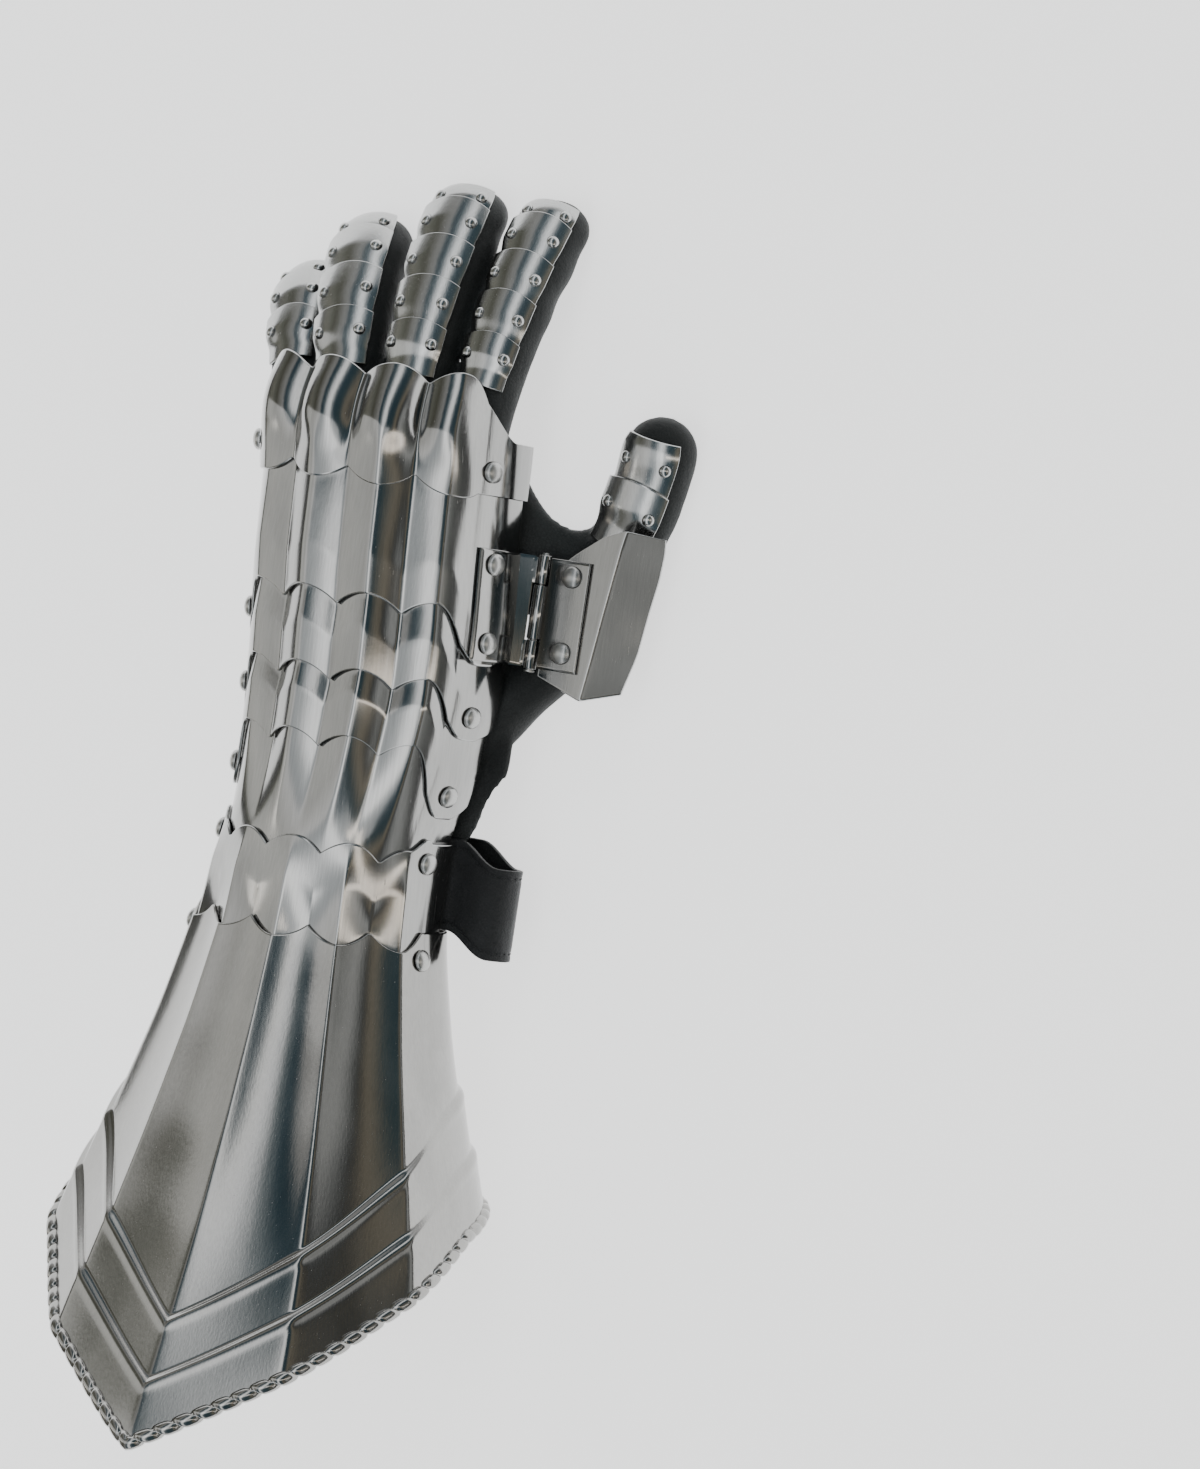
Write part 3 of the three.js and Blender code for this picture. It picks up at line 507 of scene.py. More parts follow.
lame("wrist_lame", beyond(cuff_top, -OVERLAP), wrist_lame_edge, 0, LAYER)
lame("wrist_plate", beyond(wrist_lame_edge, -OVERLAP), beyond(lame_2_edge, OVERLAP), 0, 0)
lame("hand_lame_2", lame_2_edge, beyond(lame_1_edge, OVERLAP), LAYER, 0)
lame("hand_lame_1", lame_1_edge, beyond(metacarpal_edge, OVERLAP), LAYER, 0)
lame("metacarpal_plate", metacarpal_edge, beyond(knuckle_back, OVERLAP), LAYER, 0, 34)
lame("knuckle_plate", knuckle_back, knuckle_front, LAYER, LAYER, 34, 0.008)

# ---- cuff ----
BAND_EDGES = (24.0, 44.0)
BAND_STEP, BAND_SLOPE = 1.6, 2.2
BEAD_HEIGHT, BEAD_BACK, BEAD_WIDTH = 0.25, 3.4, 1.5
ROPE_RADIUS, ROPE_PACE, ROPE_GROOVE = 2.5, 7.0, 0.75
PAST_BANDS = 49
# distances from the rim of the rows of vertices over the two bands
BAND_ROWS = np.array([
    2.6, 3.2, 4.5, 6, 8, 10, 12.5, 15, 17, 18.2, 19, 19.8, 20.6, 21.3, 21.9, 22.5, 23, 23.5, 24, 24.6,
    26, 29, 32, 35, 37, 38.2, 39, 39.8, 40.6, 41.3, 41.9, 42.5, 43, 43.5, 44, 44.6, 46, PAST_BANDS], float)


def band_height(distance):
    """How far the sheet stands out at a distance from the rim: two steps, each with a soft bead at its
    brink."""
    height = 0.0
    for edge in BAND_EDGES:
        bead = BEAD_HEIGHT * np.exp(-((distance - edge + BEAD_BACK) / BEAD_WIDTH) ** 2)
        height = height + BAND_STEP * (1 - ease(distance, edge - BAND_SLOPE, edge)) + bead
    return height


def cuff_angles():
    """Angles all round the arm, closer together at the creases."""
    base = np.arange(-178.5, 180.1, 1.5)
    creases = [s * c + d for c in (0, 15, 30, 46, 62, 80) for s in (-1, 1)
               for d in (-1.2, -0.6, -0.25, 0, 0.25, 0.6, 1.2)]
    kept = [b for b in base if min(abs(b - c) for c in creases) > 0.5]
    return np.unique(np.round(np.concatenate([kept, creases]), 3))


def cuff_sheet():
    """The sheet, closed round the arm, from its rim to the wrist."""
    angles = cuff_angles()
    shares = np.concatenate([np.linspace(0, 1, 44)[1:-1], [0.992, 0.997, 1]])
    rim, top = cuff_rim(angles), cuff_top(angles)
    places = np.array([rim + d for d in BAND_ROWS] + [lerp(rim + PAST_BANDS, top, s) for s in shares])
    lift = band_height(places - rim)
    phi = np.broadcast_to(angles, places.shape)
    outer = skin(places, phi, LAYER + PLATE + lift).reshape(-1, 3)
    inner = skin(places, phi, LAYER + lift).reshape(-1, 3)
    n, m = len(angles), len(places)
    last_out = skin(top + 0.3, angles, LAYER + PLATE * 0.75)
    last_in = skin(top + 0.3, angles, LAYER + PLATE * 0.25)
    vertices = np.vstack([outer, inner, last_out, last_in])
    faces = grid_faces(n, m, 0, around=True) + grid_faces(n, m, n * m, flip=True, around=True)
    ring = np.arange(n)
    top_out, top_in = (m - 1) * n + ring, n * m + (m - 1) * n + ring
    end_out, end_in = 2 * n * m + ring, 2 * n * m + n + ring
    faces += bridge(end_out, top_out) + bridge(end_in, end_out) + bridge(top_in, end_in)
    faces += bridge(ring, n * m + ring)
    return vertices, outward(vertices, faces)


def roped_edge():
    """The wire in the turned rim, filed into slanting beads."""
    fine = np.linspace(-180, 180, 1081)[:-1]
    out_of_skin = LAYER + PLATE / 2 + band_height(np.full(len(fine), 2.0))
    line = skin(cuff_rim(fine) + ROPE_RADIUS * 0.9, fine, out_of_skin)
    ahead = np.roll(line, -1, 0) - np.roll(line, 1, 0)
    ahead /= np.linalg.norm(ahead, axis=1, keepdims=True)
    out = skin_out(cuff_rim(fine), fine)
    out -= (out * ahead).sum(1, keepdims=True) * ahead
    out /= np.linalg.norm(out, axis=1, keepdims=True)
    aside = np.cross(ahead, out)
    run = np.concatenate([[0], np.cumsum(np.linalg.norm(np.diff(line, axis=0), axis=1))])
    total = run[-1] + np.linalg.norm(line[0] - line[-1])
    beads = round(total / ROPE_PACE)
    around = np.arange(20) * 18.0
    phase = ((run / total * beads)[:, None] - around[None, :] / 360) % 1.0
    groove = np.exp(-((phase - 0.5) / 0.1) ** 2)
    radius = ROPE_RADIUS * (1.0 + 0.04 * np.cos(2 * np.pi * phase)) - ROPE_GROOVE * groove
    a = np.radians(around)[None, :, None]
    spokes = np.cos(a) * out[:, None, :] + np.sin(a) * aside[:, None, :]
    wire = (line[:, None, :] + radius[..., None] * spokes).reshape(-1, 3)
    k = len(around)
    faces = grid_faces(k, len(fine), around=True)
    last = (len(fine) - 1) * k
    faces += [[last + i, last + (i + 1) % k, (i + 1) % k, i] for i in range(k)]
    return wire, outward(wire, faces)


new_object("steel_cuff", *joined([cuff_sheet(), roped_edge()]), CUFF_STEEL, "hand", "steel", ["cuff"])

# ---- rivets: a domed head outside, the shank, and a small burr inside ----
PIVOT_ANGLE, KNUCKLE_PIVOT_ANGLE = 76.0, 68.0
HINGE_X, HINGE_Z = 58.5, -12.5
HINGE_FROM, HINGE_TO = 69.0, 109.0
HINGE_PIN, HINGE_BORE, HINGE_BARREL = 1.3, 1.55, 2.7
LEAF, LEAF_BEVEL = 1.1, 0.25
LEAF_LIFT = GAP + LEAF
TWO_PLATES = LAYER + PLATE
RIVET_RADIUS, RIVET_TOP, RIVET_FOOT, SHANK = 3.8, 2.7, 0.2, 1.5


def rivet_mesh(foot, out, depth):
    """A rivet on a surface, through sheets of that depth. Its head's flat side is RIVET_FOOT up."""
    brim = RIVET_FOOT + 0.35
    dome = [(RIVET_RADIUS * math.cos(t), brim + (RIVET_TOP - RIVET_FOOT - 0.35) * math.sin(t))
            for t in np.radians([0, 15, 30, 45, 60, 75])]
    burr = [(0, -depth - 1.3), (1.6, -depth - 1.15), (2.3, -depth - 0.5), (SHANK, -depth - 0.45)]
    under_head = [(SHANK, RIVET_FOOT), (RIVET_RADIUS - 0.25, RIVET_FOOT), (RIVET_RADIUS, RIVET_FOOT + 0.15)]
    return turned_mesh(burr + under_head + dome + [(0, RIVET_TOP)], foot, out)


def along_hinge(share):
    return lerp(HINGE_FROM, HINGE_TO, share)


def metacarpal_top(y):
    """The height of the metacarpal plate's outside over the skin, beside the hinge."""
    low, high = metacarpal_edge(PIVOT_ANGLE) + OVERLAP, knuckle_back(PIVOT_ANGLE)
    return TWO_PLATES - LAYER * np.clip((y - low) / (high - low), 0, 1)


def rivet(name, foot, out, depth, body="hand"):
    mesh = rivet_mesh(foot, out, depth)
    new_object("steel_" + name, *mesh, RIVET_STEEL, body, "steel", [name], SHARP_ANGLE)


# place along the arm of each pair of rivets
PIVOTS = {"knuckle": 134, "metacarpal": 76, "lame_1": 50, "lame_2": 22, "wrist": -2, "cuff": -35}
for pivot, y in PIVOTS.items():
    angle = KNUCKLE_PIVOT_ANGLE if pivot == "knuckle" else PIVOT_ANGLE
    for side, sign in (("thumb_side", 1), ("little_side", -1)):
        # the metacarpal plate's rivet on the thumb side goes through the hinge's leaf as well
        depth = TWO_PLATES + (LEAF_LIFT if pivot == "metacarpal" and sign > 0 else 0.0)
        rivet(f"rivet_{pivot}_{side}", skin(y, sign * angle, depth), skin_out(y, sign * angle), depth)
leaf_y = along_hinge(0.85)
rivet("rivet_hinge_hand_leaf", skin(leaf_y, PIVOT_ANGLE, metacarpal_top(leaf_y) + LEAF_LIFT),
      skin_out(leaf_y, PIVOT_ANGLE), LEAF_LIFT + PLATE)

# ---- hinge of the thumb guard ----
# each barrel's stretch of the hinge, and the leaf it belongs to
HINGE_KNUCKLES = ((0, 0.26, "hand"), (0.26, 0.74, "thumb"), (0.74, 1, "hand"))
LEAF_FROM, LEAF_TO = 0.02, 0.98
# where round the hand the hinge's leaf leaves the metacarpal plate
LEAF_BEND = LAME_EDGE - 1.5


def barrel(low, high, inside, outside, sides=32):
    """A rolled barrel round the hinge's axis, with a small bevel at each end."""
    soft = 0.25
    rings = [(inside, low), (outside - soft, low), (outside, low + soft),
             (outside, high - soft), (outside - soft, high), (inside, high)]
    turn = np.arange(sides) * 2 * math.pi / sides
    x, z = np.cos(turn), np.sin(turn)
    vertices = np.vstack([np.stack([HINGE_X + r * x, np.full(sides, y), HINGE_Z + r * z], -1)
                          for r, y in rings])
    faces = grid_faces(sides, len(rings), around=True)
    faces += bridge(np.arange(sides) + (len(rings) - 1) * sides, np.arange(sides))
    return vertices, outward(vertices, faces)


def leaf_mesh(leaf, flat_columns, wing_columns, at, inset_u):
    """A leaf: its flat over the whole hinge, the wings that reach its barrels, and the barrels."""
    rows = np.array([LEAF_FROM, 0.05, 0.15, 0.3, 0.5, 0.7, 0.85, 0.95, LEAF_TO])
    own = [(low, high) for low, high, owner in HINGE_KNUCKLES if owner == leaf]
    parts = [plate_mesh(flat_columns, rows, at, inset_u, 0.006, LEAF, LEAF_BEVEL)[:2]]
    for low, high in own:
        rows = np.linspace(max(low, LEAF_FROM) + 0.008, min(high, LEAF_TO) - 0.008, 6)
        parts.append(plate_mesh(wing_columns, rows, at, 0.02, 0.004, LEAF, LEAF_BEVEL)[:2])
    for low, high in own:
        low, high = along_hinge(low) + GAP / 2, along_hinge(high) - GAP / 2
        parts.append(barrel(low, high, HINGE_BORE, HINGE_BARREL))
    return joined(parts)


def hand_leaf_at(phi, share, lift):
    """On the metacarpal plate up to LEAF_BEND, and from there straight to the hinge's barrel."""
    y = along_hinge(share)
    on_plate = skin(y, np.minimum(phi, LEAF_BEND), metacarpal_top(y) + GAP + lift)
    edge = skin(y, LEAF_BEND, metacarpal_top(y) + GAP + lift)
    axis = np.stack([np.full_like(y, HINGE_X), y, np.full_like(y, HINGE_Z)], -1)
    toward = edge - axis
    end = axis + toward / np.linalg.norm(toward, axis=-1, keepdims=True) * (2 - 0.2 * lift)[..., None]
    past = np.clip((phi - LEAF_BEND) / 10, 0, 1)[..., None]
    return lerp(on_plate, end, past)


hand_leaf = leaf_mesh("hand", [*np.linspace(66, LEAF_BEND, 12), 98, 100, 102, 103.6, 104.3],
                      [102.8, 104, 105.2, 106.4], hand_leaf_at, BEVEL_ANGLE)
new_object("steel_hinge_leaf_hand", *hand_leaf, PLATE_STEEL, "hand", "steel", ["hinge_leaf_hand"],
           SHARP_ANGLE)
pin_low, pin_high = HINGE_FROM - 1, HINGE_TO + 0.6
pin_profile = [(0, 0), (1.7, 0), (2.1, 0.3), (2.1, 0.8), (HINGE_PIN, 0.9),
               (HINGE_PIN, pin_high - pin_low - 0.4), (1.0, pin_high - pin_low), (0, pin_high - pin_low)]
new_object("steel_hinge_pin", *turned_mesh(pin_profile, (HINGE_X, pin_low, HINGE_Z), (0, 1, 0)),
           RIVET_STEEL, "hand", "steel", ["hinge_pin"], SHARP_ANGLE)

# ---- thumb guard ----
GUARD_ROOT_X, GUARD_ROOT_Z, GUARD_SLOPE = 62.2, -13.0, 0.18
# hinge edge x, y; crease x, y; outer edge x, y, z
GUARD_RAILS = np.array([
    (62.2, 67, 80, 61, 90, 65, -21), (62.2, 78, 82, 75, 94, 79, -21),
    (62.2, 91, 84, 90, 96, 94, -21), (62.6, 104, 86, 104, 98, 106, -21),
    (71, 111, 87.5, 114, 99, 115, -20), (81, 118, 89, 121, 99, 120, -19)], float)
tilt = math.atan(GUARD_SLOPE)
GUARD_ALONG = np.array((math.cos(tilt), 0, math.sin(tilt)))
GUARD_UP = np.array((-math.sin(tilt), 0, math.cos(tilt)))
# how far, in radians, the guard's outer part leans from upright
GUARD_LEAN = 0.8
GUARD_OUT = np.array((math.sin(GUARD_LEAN), 0, math.cos(GUARD_LEAN)))


def on_guard(distance, y, lift):
    """A point on the guard's inner plane, at a distance from its hinge edge."""
    distance, y, lift = np.broadcast_arrays(*(np.asarray(v, float) for v in (distance, y, lift)))
    root = np.stack([np.full_like(y, GUARD_ROOT_X), y, np.full_like(y, GUARD_ROOT_Z)], -1)
    return root + distance[..., None] * GUARD_ALONG + lift[..., None] * GUARD_UP


def guard_at(share, row, lift):
    """A point of the guard. share is 0 at the hinge, 1 at the crease, which is a small round, and 2 at the
    outer edge, and row counts the rails."""
    row = np.clip(row, 0, len(GUARD_RAILS) - 1)
    numbers = np.arange(len(GUARD_RAILS))
    rails = np.stack([np.interp(row, numbers, column) for column in GUARD_RAILS.T], -1)
    start = on_guard((rails[..., 0] - GUARD_ROOT_X) / math.cos(tilt), rails[..., 1], 0)
    crease = on_guard((rails[..., 2] - GUARD_ROOT_X) / math.cos(tilt), rails[..., 3], 0)
    outer = rails[..., 4:7]
    inner_part = lerp(start, crease, np.clip(share, 0, 1)[..., None])
    p = inner_part + (outer - crease) * np.clip(share - 1, 0, 1)[..., None]
    turn = ease(share, 0.94, 1.06)[..., None]
    out = lerp(GUARD_UP, GUARD_OUT, turn)
    out = out / np.linalg.norm(out, axis=-1, keepdims=True)
    return p + out * np.asarray(lift)[..., None]


def thumb_plate():
    shares = np.concatenate([
        packed_rows(0, 1, 0.12, (0.02, 0.06))[:-2], [0.965, 0.985, 1.0, 1.015, 1.04, 1.07],
        1 + packed_rows(0, 1, 0.2, (0.12, 0.2))[2:-2], [1.95, 2.0]])
    rows = packed_rows(0, len(GUARD_RAILS) - 1, 0.25, (0.03, 0.08))
    vertices, faces, marks = plate_mesh(shares, rows, guard_at, 0.02, 0.03)
    new_object("steel_thumb_plate", vertices, faces, PLATE_STEEL, "thumb_guard", "steel", ["thumb_plate"],
               marks=marks)


thumb_plate()


def thumb_leaf_at(distance, share, lift):
    """On the thumb plate from its hinge edge on, and before it, at distances below 0, to the barrel."""
    y = along_hinge(share)
    flat = on_guard(np.maximum(distance, 0), y, PLATE + GAP + lift)
    axis = np.stack([np.full_like(y, HINGE_X) + 1.6, y, HINGE_Z + 0.6 + lift], -1)
    return lerp(flat, axis, np.clip(-distance / 3, 0, 1)[..., None])


thumb_leaf = leaf_mesh("thumb", [0, 0.5, 2, 5, 8, 11, 14, 15.5, 16], [-3, -2, -1, 0, 0.5],
                       thumb_leaf_at, 0.25)
new_object("steel_hinge_leaf_thumb", *thumb_leaf, PLATE_STEEL, "thumb_guard", "steel", ["hinge_leaf_thumb"],
           SHARP_ANGLE)
for number, share in ((1, 0.18), (2, 0.84)):
    foot = on_guard(9.5, along_hinge(share), PLATE + LEAF_LIFT)
    rivet(f"rivet_hinge_thumb_leaf_{number}", foot, GUARD_UP, PLATE + LEAF_LIFT, "thumb_guard")

# ---- digits ----
# yaw and pitch are in degrees at the root and at the tip; width and height are halves
DIGITS = {
    "index": {"root": (34.5, 147, 6), "yaw": (4.5, 4.5), "pitch": (3, 39),
              "length": 90, "width": 12.8, "height": 10},
    "middle": {"root": (11.5, 147, 11.5), "yaw": (-2, -3), "pitch": (5, 42.5),
               "length": 93, "width": 14, "height": 10.5},
    "ring": {"root": (-12.5, 147, 11.5), "yaw": (-11, -16), "pitch": (6, 52.5),
             "length": 82, "width": 14, "height": 10.5},
    "little": {"root": (-35, 147, 4.5), "yaw": (-15, -24), "pitch": (8, 62),
               "length": 63, "width": 11.8, "height": 9.5},
    "thumb": {"root": (37, 42, -19), "yaw": (42, 8), "pitch": (14, -12),
              "length": 135, "width": 13, "height": 10}}
FINGER_SCALES = {"index": 5, "middle": 5, "ring": 4, "little": 3}
ROOT_WIDTH = 0.82


def digit_point(digit, s, psi, lift=0.0):
    """A point round a digit: s along it, psi in degrees from its top, lift outside the leather."""
    s, psi, lift = np.broadcast_arrays(*(np.asarray(v, float) for v in (s, psi, lift)))
    length = digit["length"]

    def heading(t):
        yaw = np.radians(lerp(*digit["yaw"], t / length))
        pitch = np.radians(lerp(*digit["pitch"], t / length))
        return np.stack([np.sin(yaw) * np.cos(pitch), np.cos(yaw) * np.cos(pitch), -np.sin(pitch)], -1)

    centre = np.broadcast_to(np.array(digit["root"], float), (*s.shape, 3)).copy()
    for i in range(8):
        centre += heading(s * (i + 0.5) / 8) * (s / 8)[..., None]
    forward = heading(s)
    side = np.stack([forward[..., 1], -forward[..., 0], np.zeros_like(s)], -1)
    side /= np.linalg.norm(side, axis=-1, keepdims=True)
    up = np.cross(side, forward)
    to_tip = np.clip((length - s) / digit["width"], 0, 1)
    tip = np.sqrt(np.maximum(1 - (1 - to_tip) ** 2, 0))
    taper = lerp(ROOT_WIDTH, 1, ease(s, 0, length * 0.75))
    a = digit["width"] * taper * tip + lift
    b = digit["height"] * lerp(0.92, 1, taper) * tip + lift
    turn = np.radians(psi)
    return centre + side * (a * np.sin(turn))[..., None] + up * (b * np.cos(turn))[..., None]


SCALE_HALF_ANGLE, SCALE_LAP, SCALE_BOW, BARE_TIP = 46.0, 4.0, 3, 4.5
SCALE_RIVET_ANGLE = 30
SCALE_RIVET = ([(0, -0.6), (1.5, -0.5), (2.1, -0.3), (2.25, 0.05)]
               + [(2.1 * math.cos(t), 0.15 + 1.25 * math.sin(t)) for t in np.radians([12, 30, 48, 66])]
               + [(0, 1.4)])


def scale_piece(name, digit, low, high, is_tip, body, lowest):
    """A curved scale over a digit, its far edge bowed, with a small rivet near each side."""
    bow = 0 if is_tip else SCALE_BOW
    half = SCALE_HALF_ANGLE
    psis = np.concatenate([[-half, 1.5 - half], np.linspace(5 - half, half - 5, 21), [half - 1.5, half]])
    rows = packed_rows(0, 1, 0.045, (0.02, 0.05))

    def lift_at(share):
        return lowest + (0.4 if is_tip else LAYER) * ease(share, 0.26, 0.64)

    def at(psi, share, lift):
        reach = lerp(low, high, share) + bow * share * np.cos(np.radians(psi * 1.6))
        return digit_point(digit, np.minimum(reach, digit["length"] - 1.5), psi, lift_at(share) + lift)

    vertices, faces, marks = plate_mesh(psis, rows, at, 1.1, 0.012)
    parts = [(vertices, faces)]
    share = 0.6 if is_tip else 0.66
    for psi in (-SCALE_RIVET_ANGLE, SCALE_RIVET_ANGLE):
        foot = digit_point(digit, lerp(low, high, share), psi, lift_at(share) + PLATE)
        above = digit_point(digit, lerp(low, high, share), psi, lift_at(share) + PLATE + 1)
        parts.append(turned_mesh(SCALE_RIVET, foot, above - foot, 20))
    v, f = joined(parts)
    # the rivets are not worn
    full_marks = np.concatenate([marks, np.zeros(len(v) - len(marks))])
    new_object("steel_" + name, v, f, SCALE_STEEL_PAINTED_PALER, body, "steel", [name], marks=full_marks)


def scales(digit, names, start, body, lowest):
    """Scales from start to just short of the tip, where the leather shows past the last one."""
    pitch = (digit["length"] - 2 - start) / len(names)
    for i, name in enumerate(names):
        is_tip = i == len(names) - 1
        low = start + i * pitch - (SCALE_LAP if i else 0)
        high = start + (i + 1) * pitch - (BARE_TIP if is_tip else 0)
        scale_piece(name, digit, low, high, is_tip, body, lowest)


for finger, count in FINGER_SCALES.items():
    scales(DIGITS[finger], [f"{finger}_scale_{i + 1}" for i in range(count)], 14, "hand", 0.5)
scales(DIGITS["thumb"], ["thumb_strip", "thumb_tip"], 86, "thumb_guard", 1.0)


# ---- glove: thin leather, open at the cuff end, made of its body, its digits and the web in one skin ----
# y, half width, height above the axis, depth below it, how far the slack leather stands out to the thumb
GLOVE_SECTIONS = np.array([
    (-52, 35, 28, 25, 0), (-30, 32.8, 27, 24, 2), (4, 32.5, 26.5, 24, 19), (30, 35.5, 27, 25, 25.5),
    (62, 39, 28, 27, 20), (95, 41.5, 28.5, 27, 2), (125, 42.5, 28.5, 24, 0), (146, 42.5, 24, 18, 0),
    (154, 40, 18, 12, 0)], float)
# the closed skin starts at the first of these and is cut open at the second
GLOVE_START, GLOVE_OPEN = -58, -51.5
# the slack stands out from this depth under the axis down to the palm
SLACK_FROM = 13
SKIN_BACK_OUT = 0.25
WEB_FROM, WEB_TO = 42, 82


def capped(rings):
    """A closed tube through rings of points."""
    return closed_tube(rings, np.mean(rings[0], 0), np.mean(rings[-1], 0))


def glove_body():
    turn = np.radians(np.arange(0, 360, 6.0))
    s, c = np.sin(turn), np.cos(turn)
    first, last = GLOVE_SECTIONS[0, 0], GLOVE_SECTIONS[-1, 0]
    columns = [softened(GLOVE_SECTIONS, k, first, last, 1.0, 5.0) for k in (1, 2, 3, 4)]
    rings = []
    for y in np.concatenate([[GLOVE_START], np.arange(first, last + 0.1, 4)]):
        half, top, bottom, bulge = (np.interp(y, *column) for column in columns)
        z = np.where(c > 0, top, bottom) * c
        low = np.clip((-z - SLACK_FROM) / (bottom - SLACK_FROM), 0, 1)
        x = half * s + np.where(s > 0, bulge * np.sin(np.pi * low), 0)
        rings.append(np.stack([x + np.interp(y, *THUMBWARD_AT), np.full_like(x, y), z], -1))
    return capped(rings)


def digit_body(digit):
    psi = np.arange(0, 360, 9.0)
    tip_from = digit["length"] - 12
    tip = tip_from + 11.85 * np.sin(np.radians(np.linspace(6, 90, 16)))
    return capped([digit_point(digit, s, psi) for s in [*np.linspace(-5, tip_from, 40), *tip]])


def thumb_web():
    """The slack leather between the hand and the thumb, whose upper edge hangs hollow."""
    turn = np.radians(np.arange(0, 360, 12.0))
    rings = []
    for x in np.arange(WEB_FROM, WEB_TO + 0.1, 4):
        bow = ((x - 63) / 19) ** 2
        low, top = 84 + 0.4 * (x - WEB_FROM), 119 + 14 * bow
        y = (low + top) / 2 + (top - low) / 2 * np.cos(turn)
        z = lerp(-21, -28, (x - WEB_FROM) / (WEB_TO - WEB_FROM)) + (4.2 + 2.2 * bow) * np.sin(turn)
        rings.append(np.stack([np.full_like(turn, x), y, z], -1))
    return capped(rings)


def pleats(p):
    """Small folds of slack leather, in millimetres out of the skin, for points in the arm's frame."""
    x, y, z = p.T
    wobble = 3.2 * np.sin(x / 9.0 + 1.3) + 2.1 * np.sin(z / 7.0 + y / 31)
    palm = 0.55 * np.sin((y + wobble) / 4.3) * np.exp(-((y - 20) / 34) ** 2) * ease(-z, 2, 16)
    web = 0.7 * np.sin((x * 0.8 + y * 0.6 + wobble) / 4.8) * ease(x, 38, 50) * ease(-z, 4, 14)
    web *= 1 - ease(y, 110, 135)
    knuckle = 0.35 * np.sin((y + 0.6 * wobble) / 2.9) * ease(-z, 2, 9) * ease(y, 158, 170)
    return palm + web + knuckle


def one_skin():
    """The glove's body, web and digits as one voxel-remeshed skin: points, normals and faces."""
    vertices, faces = joined([glove_body(), thumb_web()] + [digit_body(d) for d in DIGITS.values()])
    mesh = bpy.data.meshes.new("leather_glove")
    mesh.from_pydata((vertices / 1000).tolist(), [], faces)
    obj = bpy.data.objects.new("leather_glove", mesh)
    bpy.context.scene.collection.objects.link(obj)
    remesh = obj.modifiers.new("skin", "REMESH")
    remesh.mode = "VOXEL"
    remesh.voxel_size = 0.0017
    smooth = obj.modifiers.new("soft", "SMOOTH")
    smooth.iterations = 6
    smooth.factor = 0.5
    applied = bpy.data.meshes.new_from_object(obj.evaluated_get(bpy.context.evaluated_depsgraph_get()))
    points, normals = np.zeros((2, len(applied.vertices), 3))
    applied.vertices.foreach_get("co", points.ravel())
    applied.vertices.foreach_get("normal", normals.ravel())
    faces = [list(p.vertices) for p in applied.polygons]
    bpy.data.objects.remove(obj)
    bpy.data.meshes.remove(mesh)
    bpy.data.meshes.remove(applied)
    return points * 1000, normals, faces


def glove():
    points, normals, faces = one_skin()
    # smoothing draws the skin in a little, so it goes back out, and then into its folds
    points += normals * (SKIN_BACK_OUT + pleats(points))[:, None]
    kept = points[:, 1] > GLOVE_OPEN
    faces = [f for f in faces if all(kept[i] for i in f)]
    used = np.unique([i for f in faces for i in f])
    index = -np.ones(len(points), int)
    index[used] = np.arange(len(used))
    faces = [[index[i] for i in f] for f in faces]
    points, normals = points[used], normals[used]
    # two faces of the leather, joined round the open end
    edges = dict.fromkeys((a, b) for f in faces for a, b in zip(f, f[1:] + f[:1]))
    rim = [(a, b) for a, b in edges if (b, a) not in edges]
    n = len(points)
    both = np.vstack([points, points - normals * LEATHER])
    faces = faces + [[n + i for i in f[::-1]] for f in faces] + [[b, a, n + a, n + b] for a, b in rim]
    new_object("leather_glove", both, faces, GLOVE_LEATHER, "hand", "leather", ["glove"])


glove()


# ---- wrist strap: a leather band with stitched edges, looped round under the wrist ----
# x, z in the arm's frame, from the thumb side round under the wrist
STRAP_PATH = np.array([
    (35.7, 6), (35.8, -2), (36.6, -9), (42, -13), (54, -13), (60, -16), (62, -22), (58, -29), (46, -32),
    (20, -32), (-10, -31), (-26.5, -26), (-33.7, -14), (-34.1, -5), (-34, 6)], float)
# the rows of vertices across the strap, closer together at the stitches
STRAP_ROWS = np.array([
    -25, -24.6, -24, -23.2, -22.6, -22.2, -21.8, -21.2, -20, -15, -9, -3,
    2, 3.2, 3.8, 4.2, 4.6, 5.2, 6, 6.6, 7], float)
STRAP_MIDDLE, STRAP_SLANT = -9, 8.0
STITCH_ASIDE, STITCH_PACE, STITCH_SHARE, STITCH_RADIUS = 13.2, 3.0, 0.66, 0.42


def smooth_line(points, per_span):
    """A smooth line through points, by the Catmull-Rom rule."""
    ends = np.vstack([2 * points[0] - points[1], points, 2 * points[-1] - points[-2]])
    t = np.linspace(0, 1, per_span, endpoint=False)[:, None]
    spans = []
    for a, b, c, d in zip(ends[:-3], ends[1:-2], ends[2:-1], ends[3:]):
        square, cube = 2 * a - 5 * b + 4 * c - d, 3 * b - a - 3 * c + d
        spans.append(0.5 * (2 * b + (c - a) * t + square * t ** 2 + cube * t ** 3))
    return np.vstack(spans + [points[-1:]])


def stitch(start, end):
    """A small thread from start to end."""
    direction = end - start
    length = np.linalg.norm(direction)
    profile = [(0, 0), (0.32, 0.15), (STITCH_RADIUS, length * 0.3), (STITCH_RADIUS, length * 0.7),
               (0.32, length - 0.15), (0, length)]
    return turned_mesh(profile, start, direction, 8)


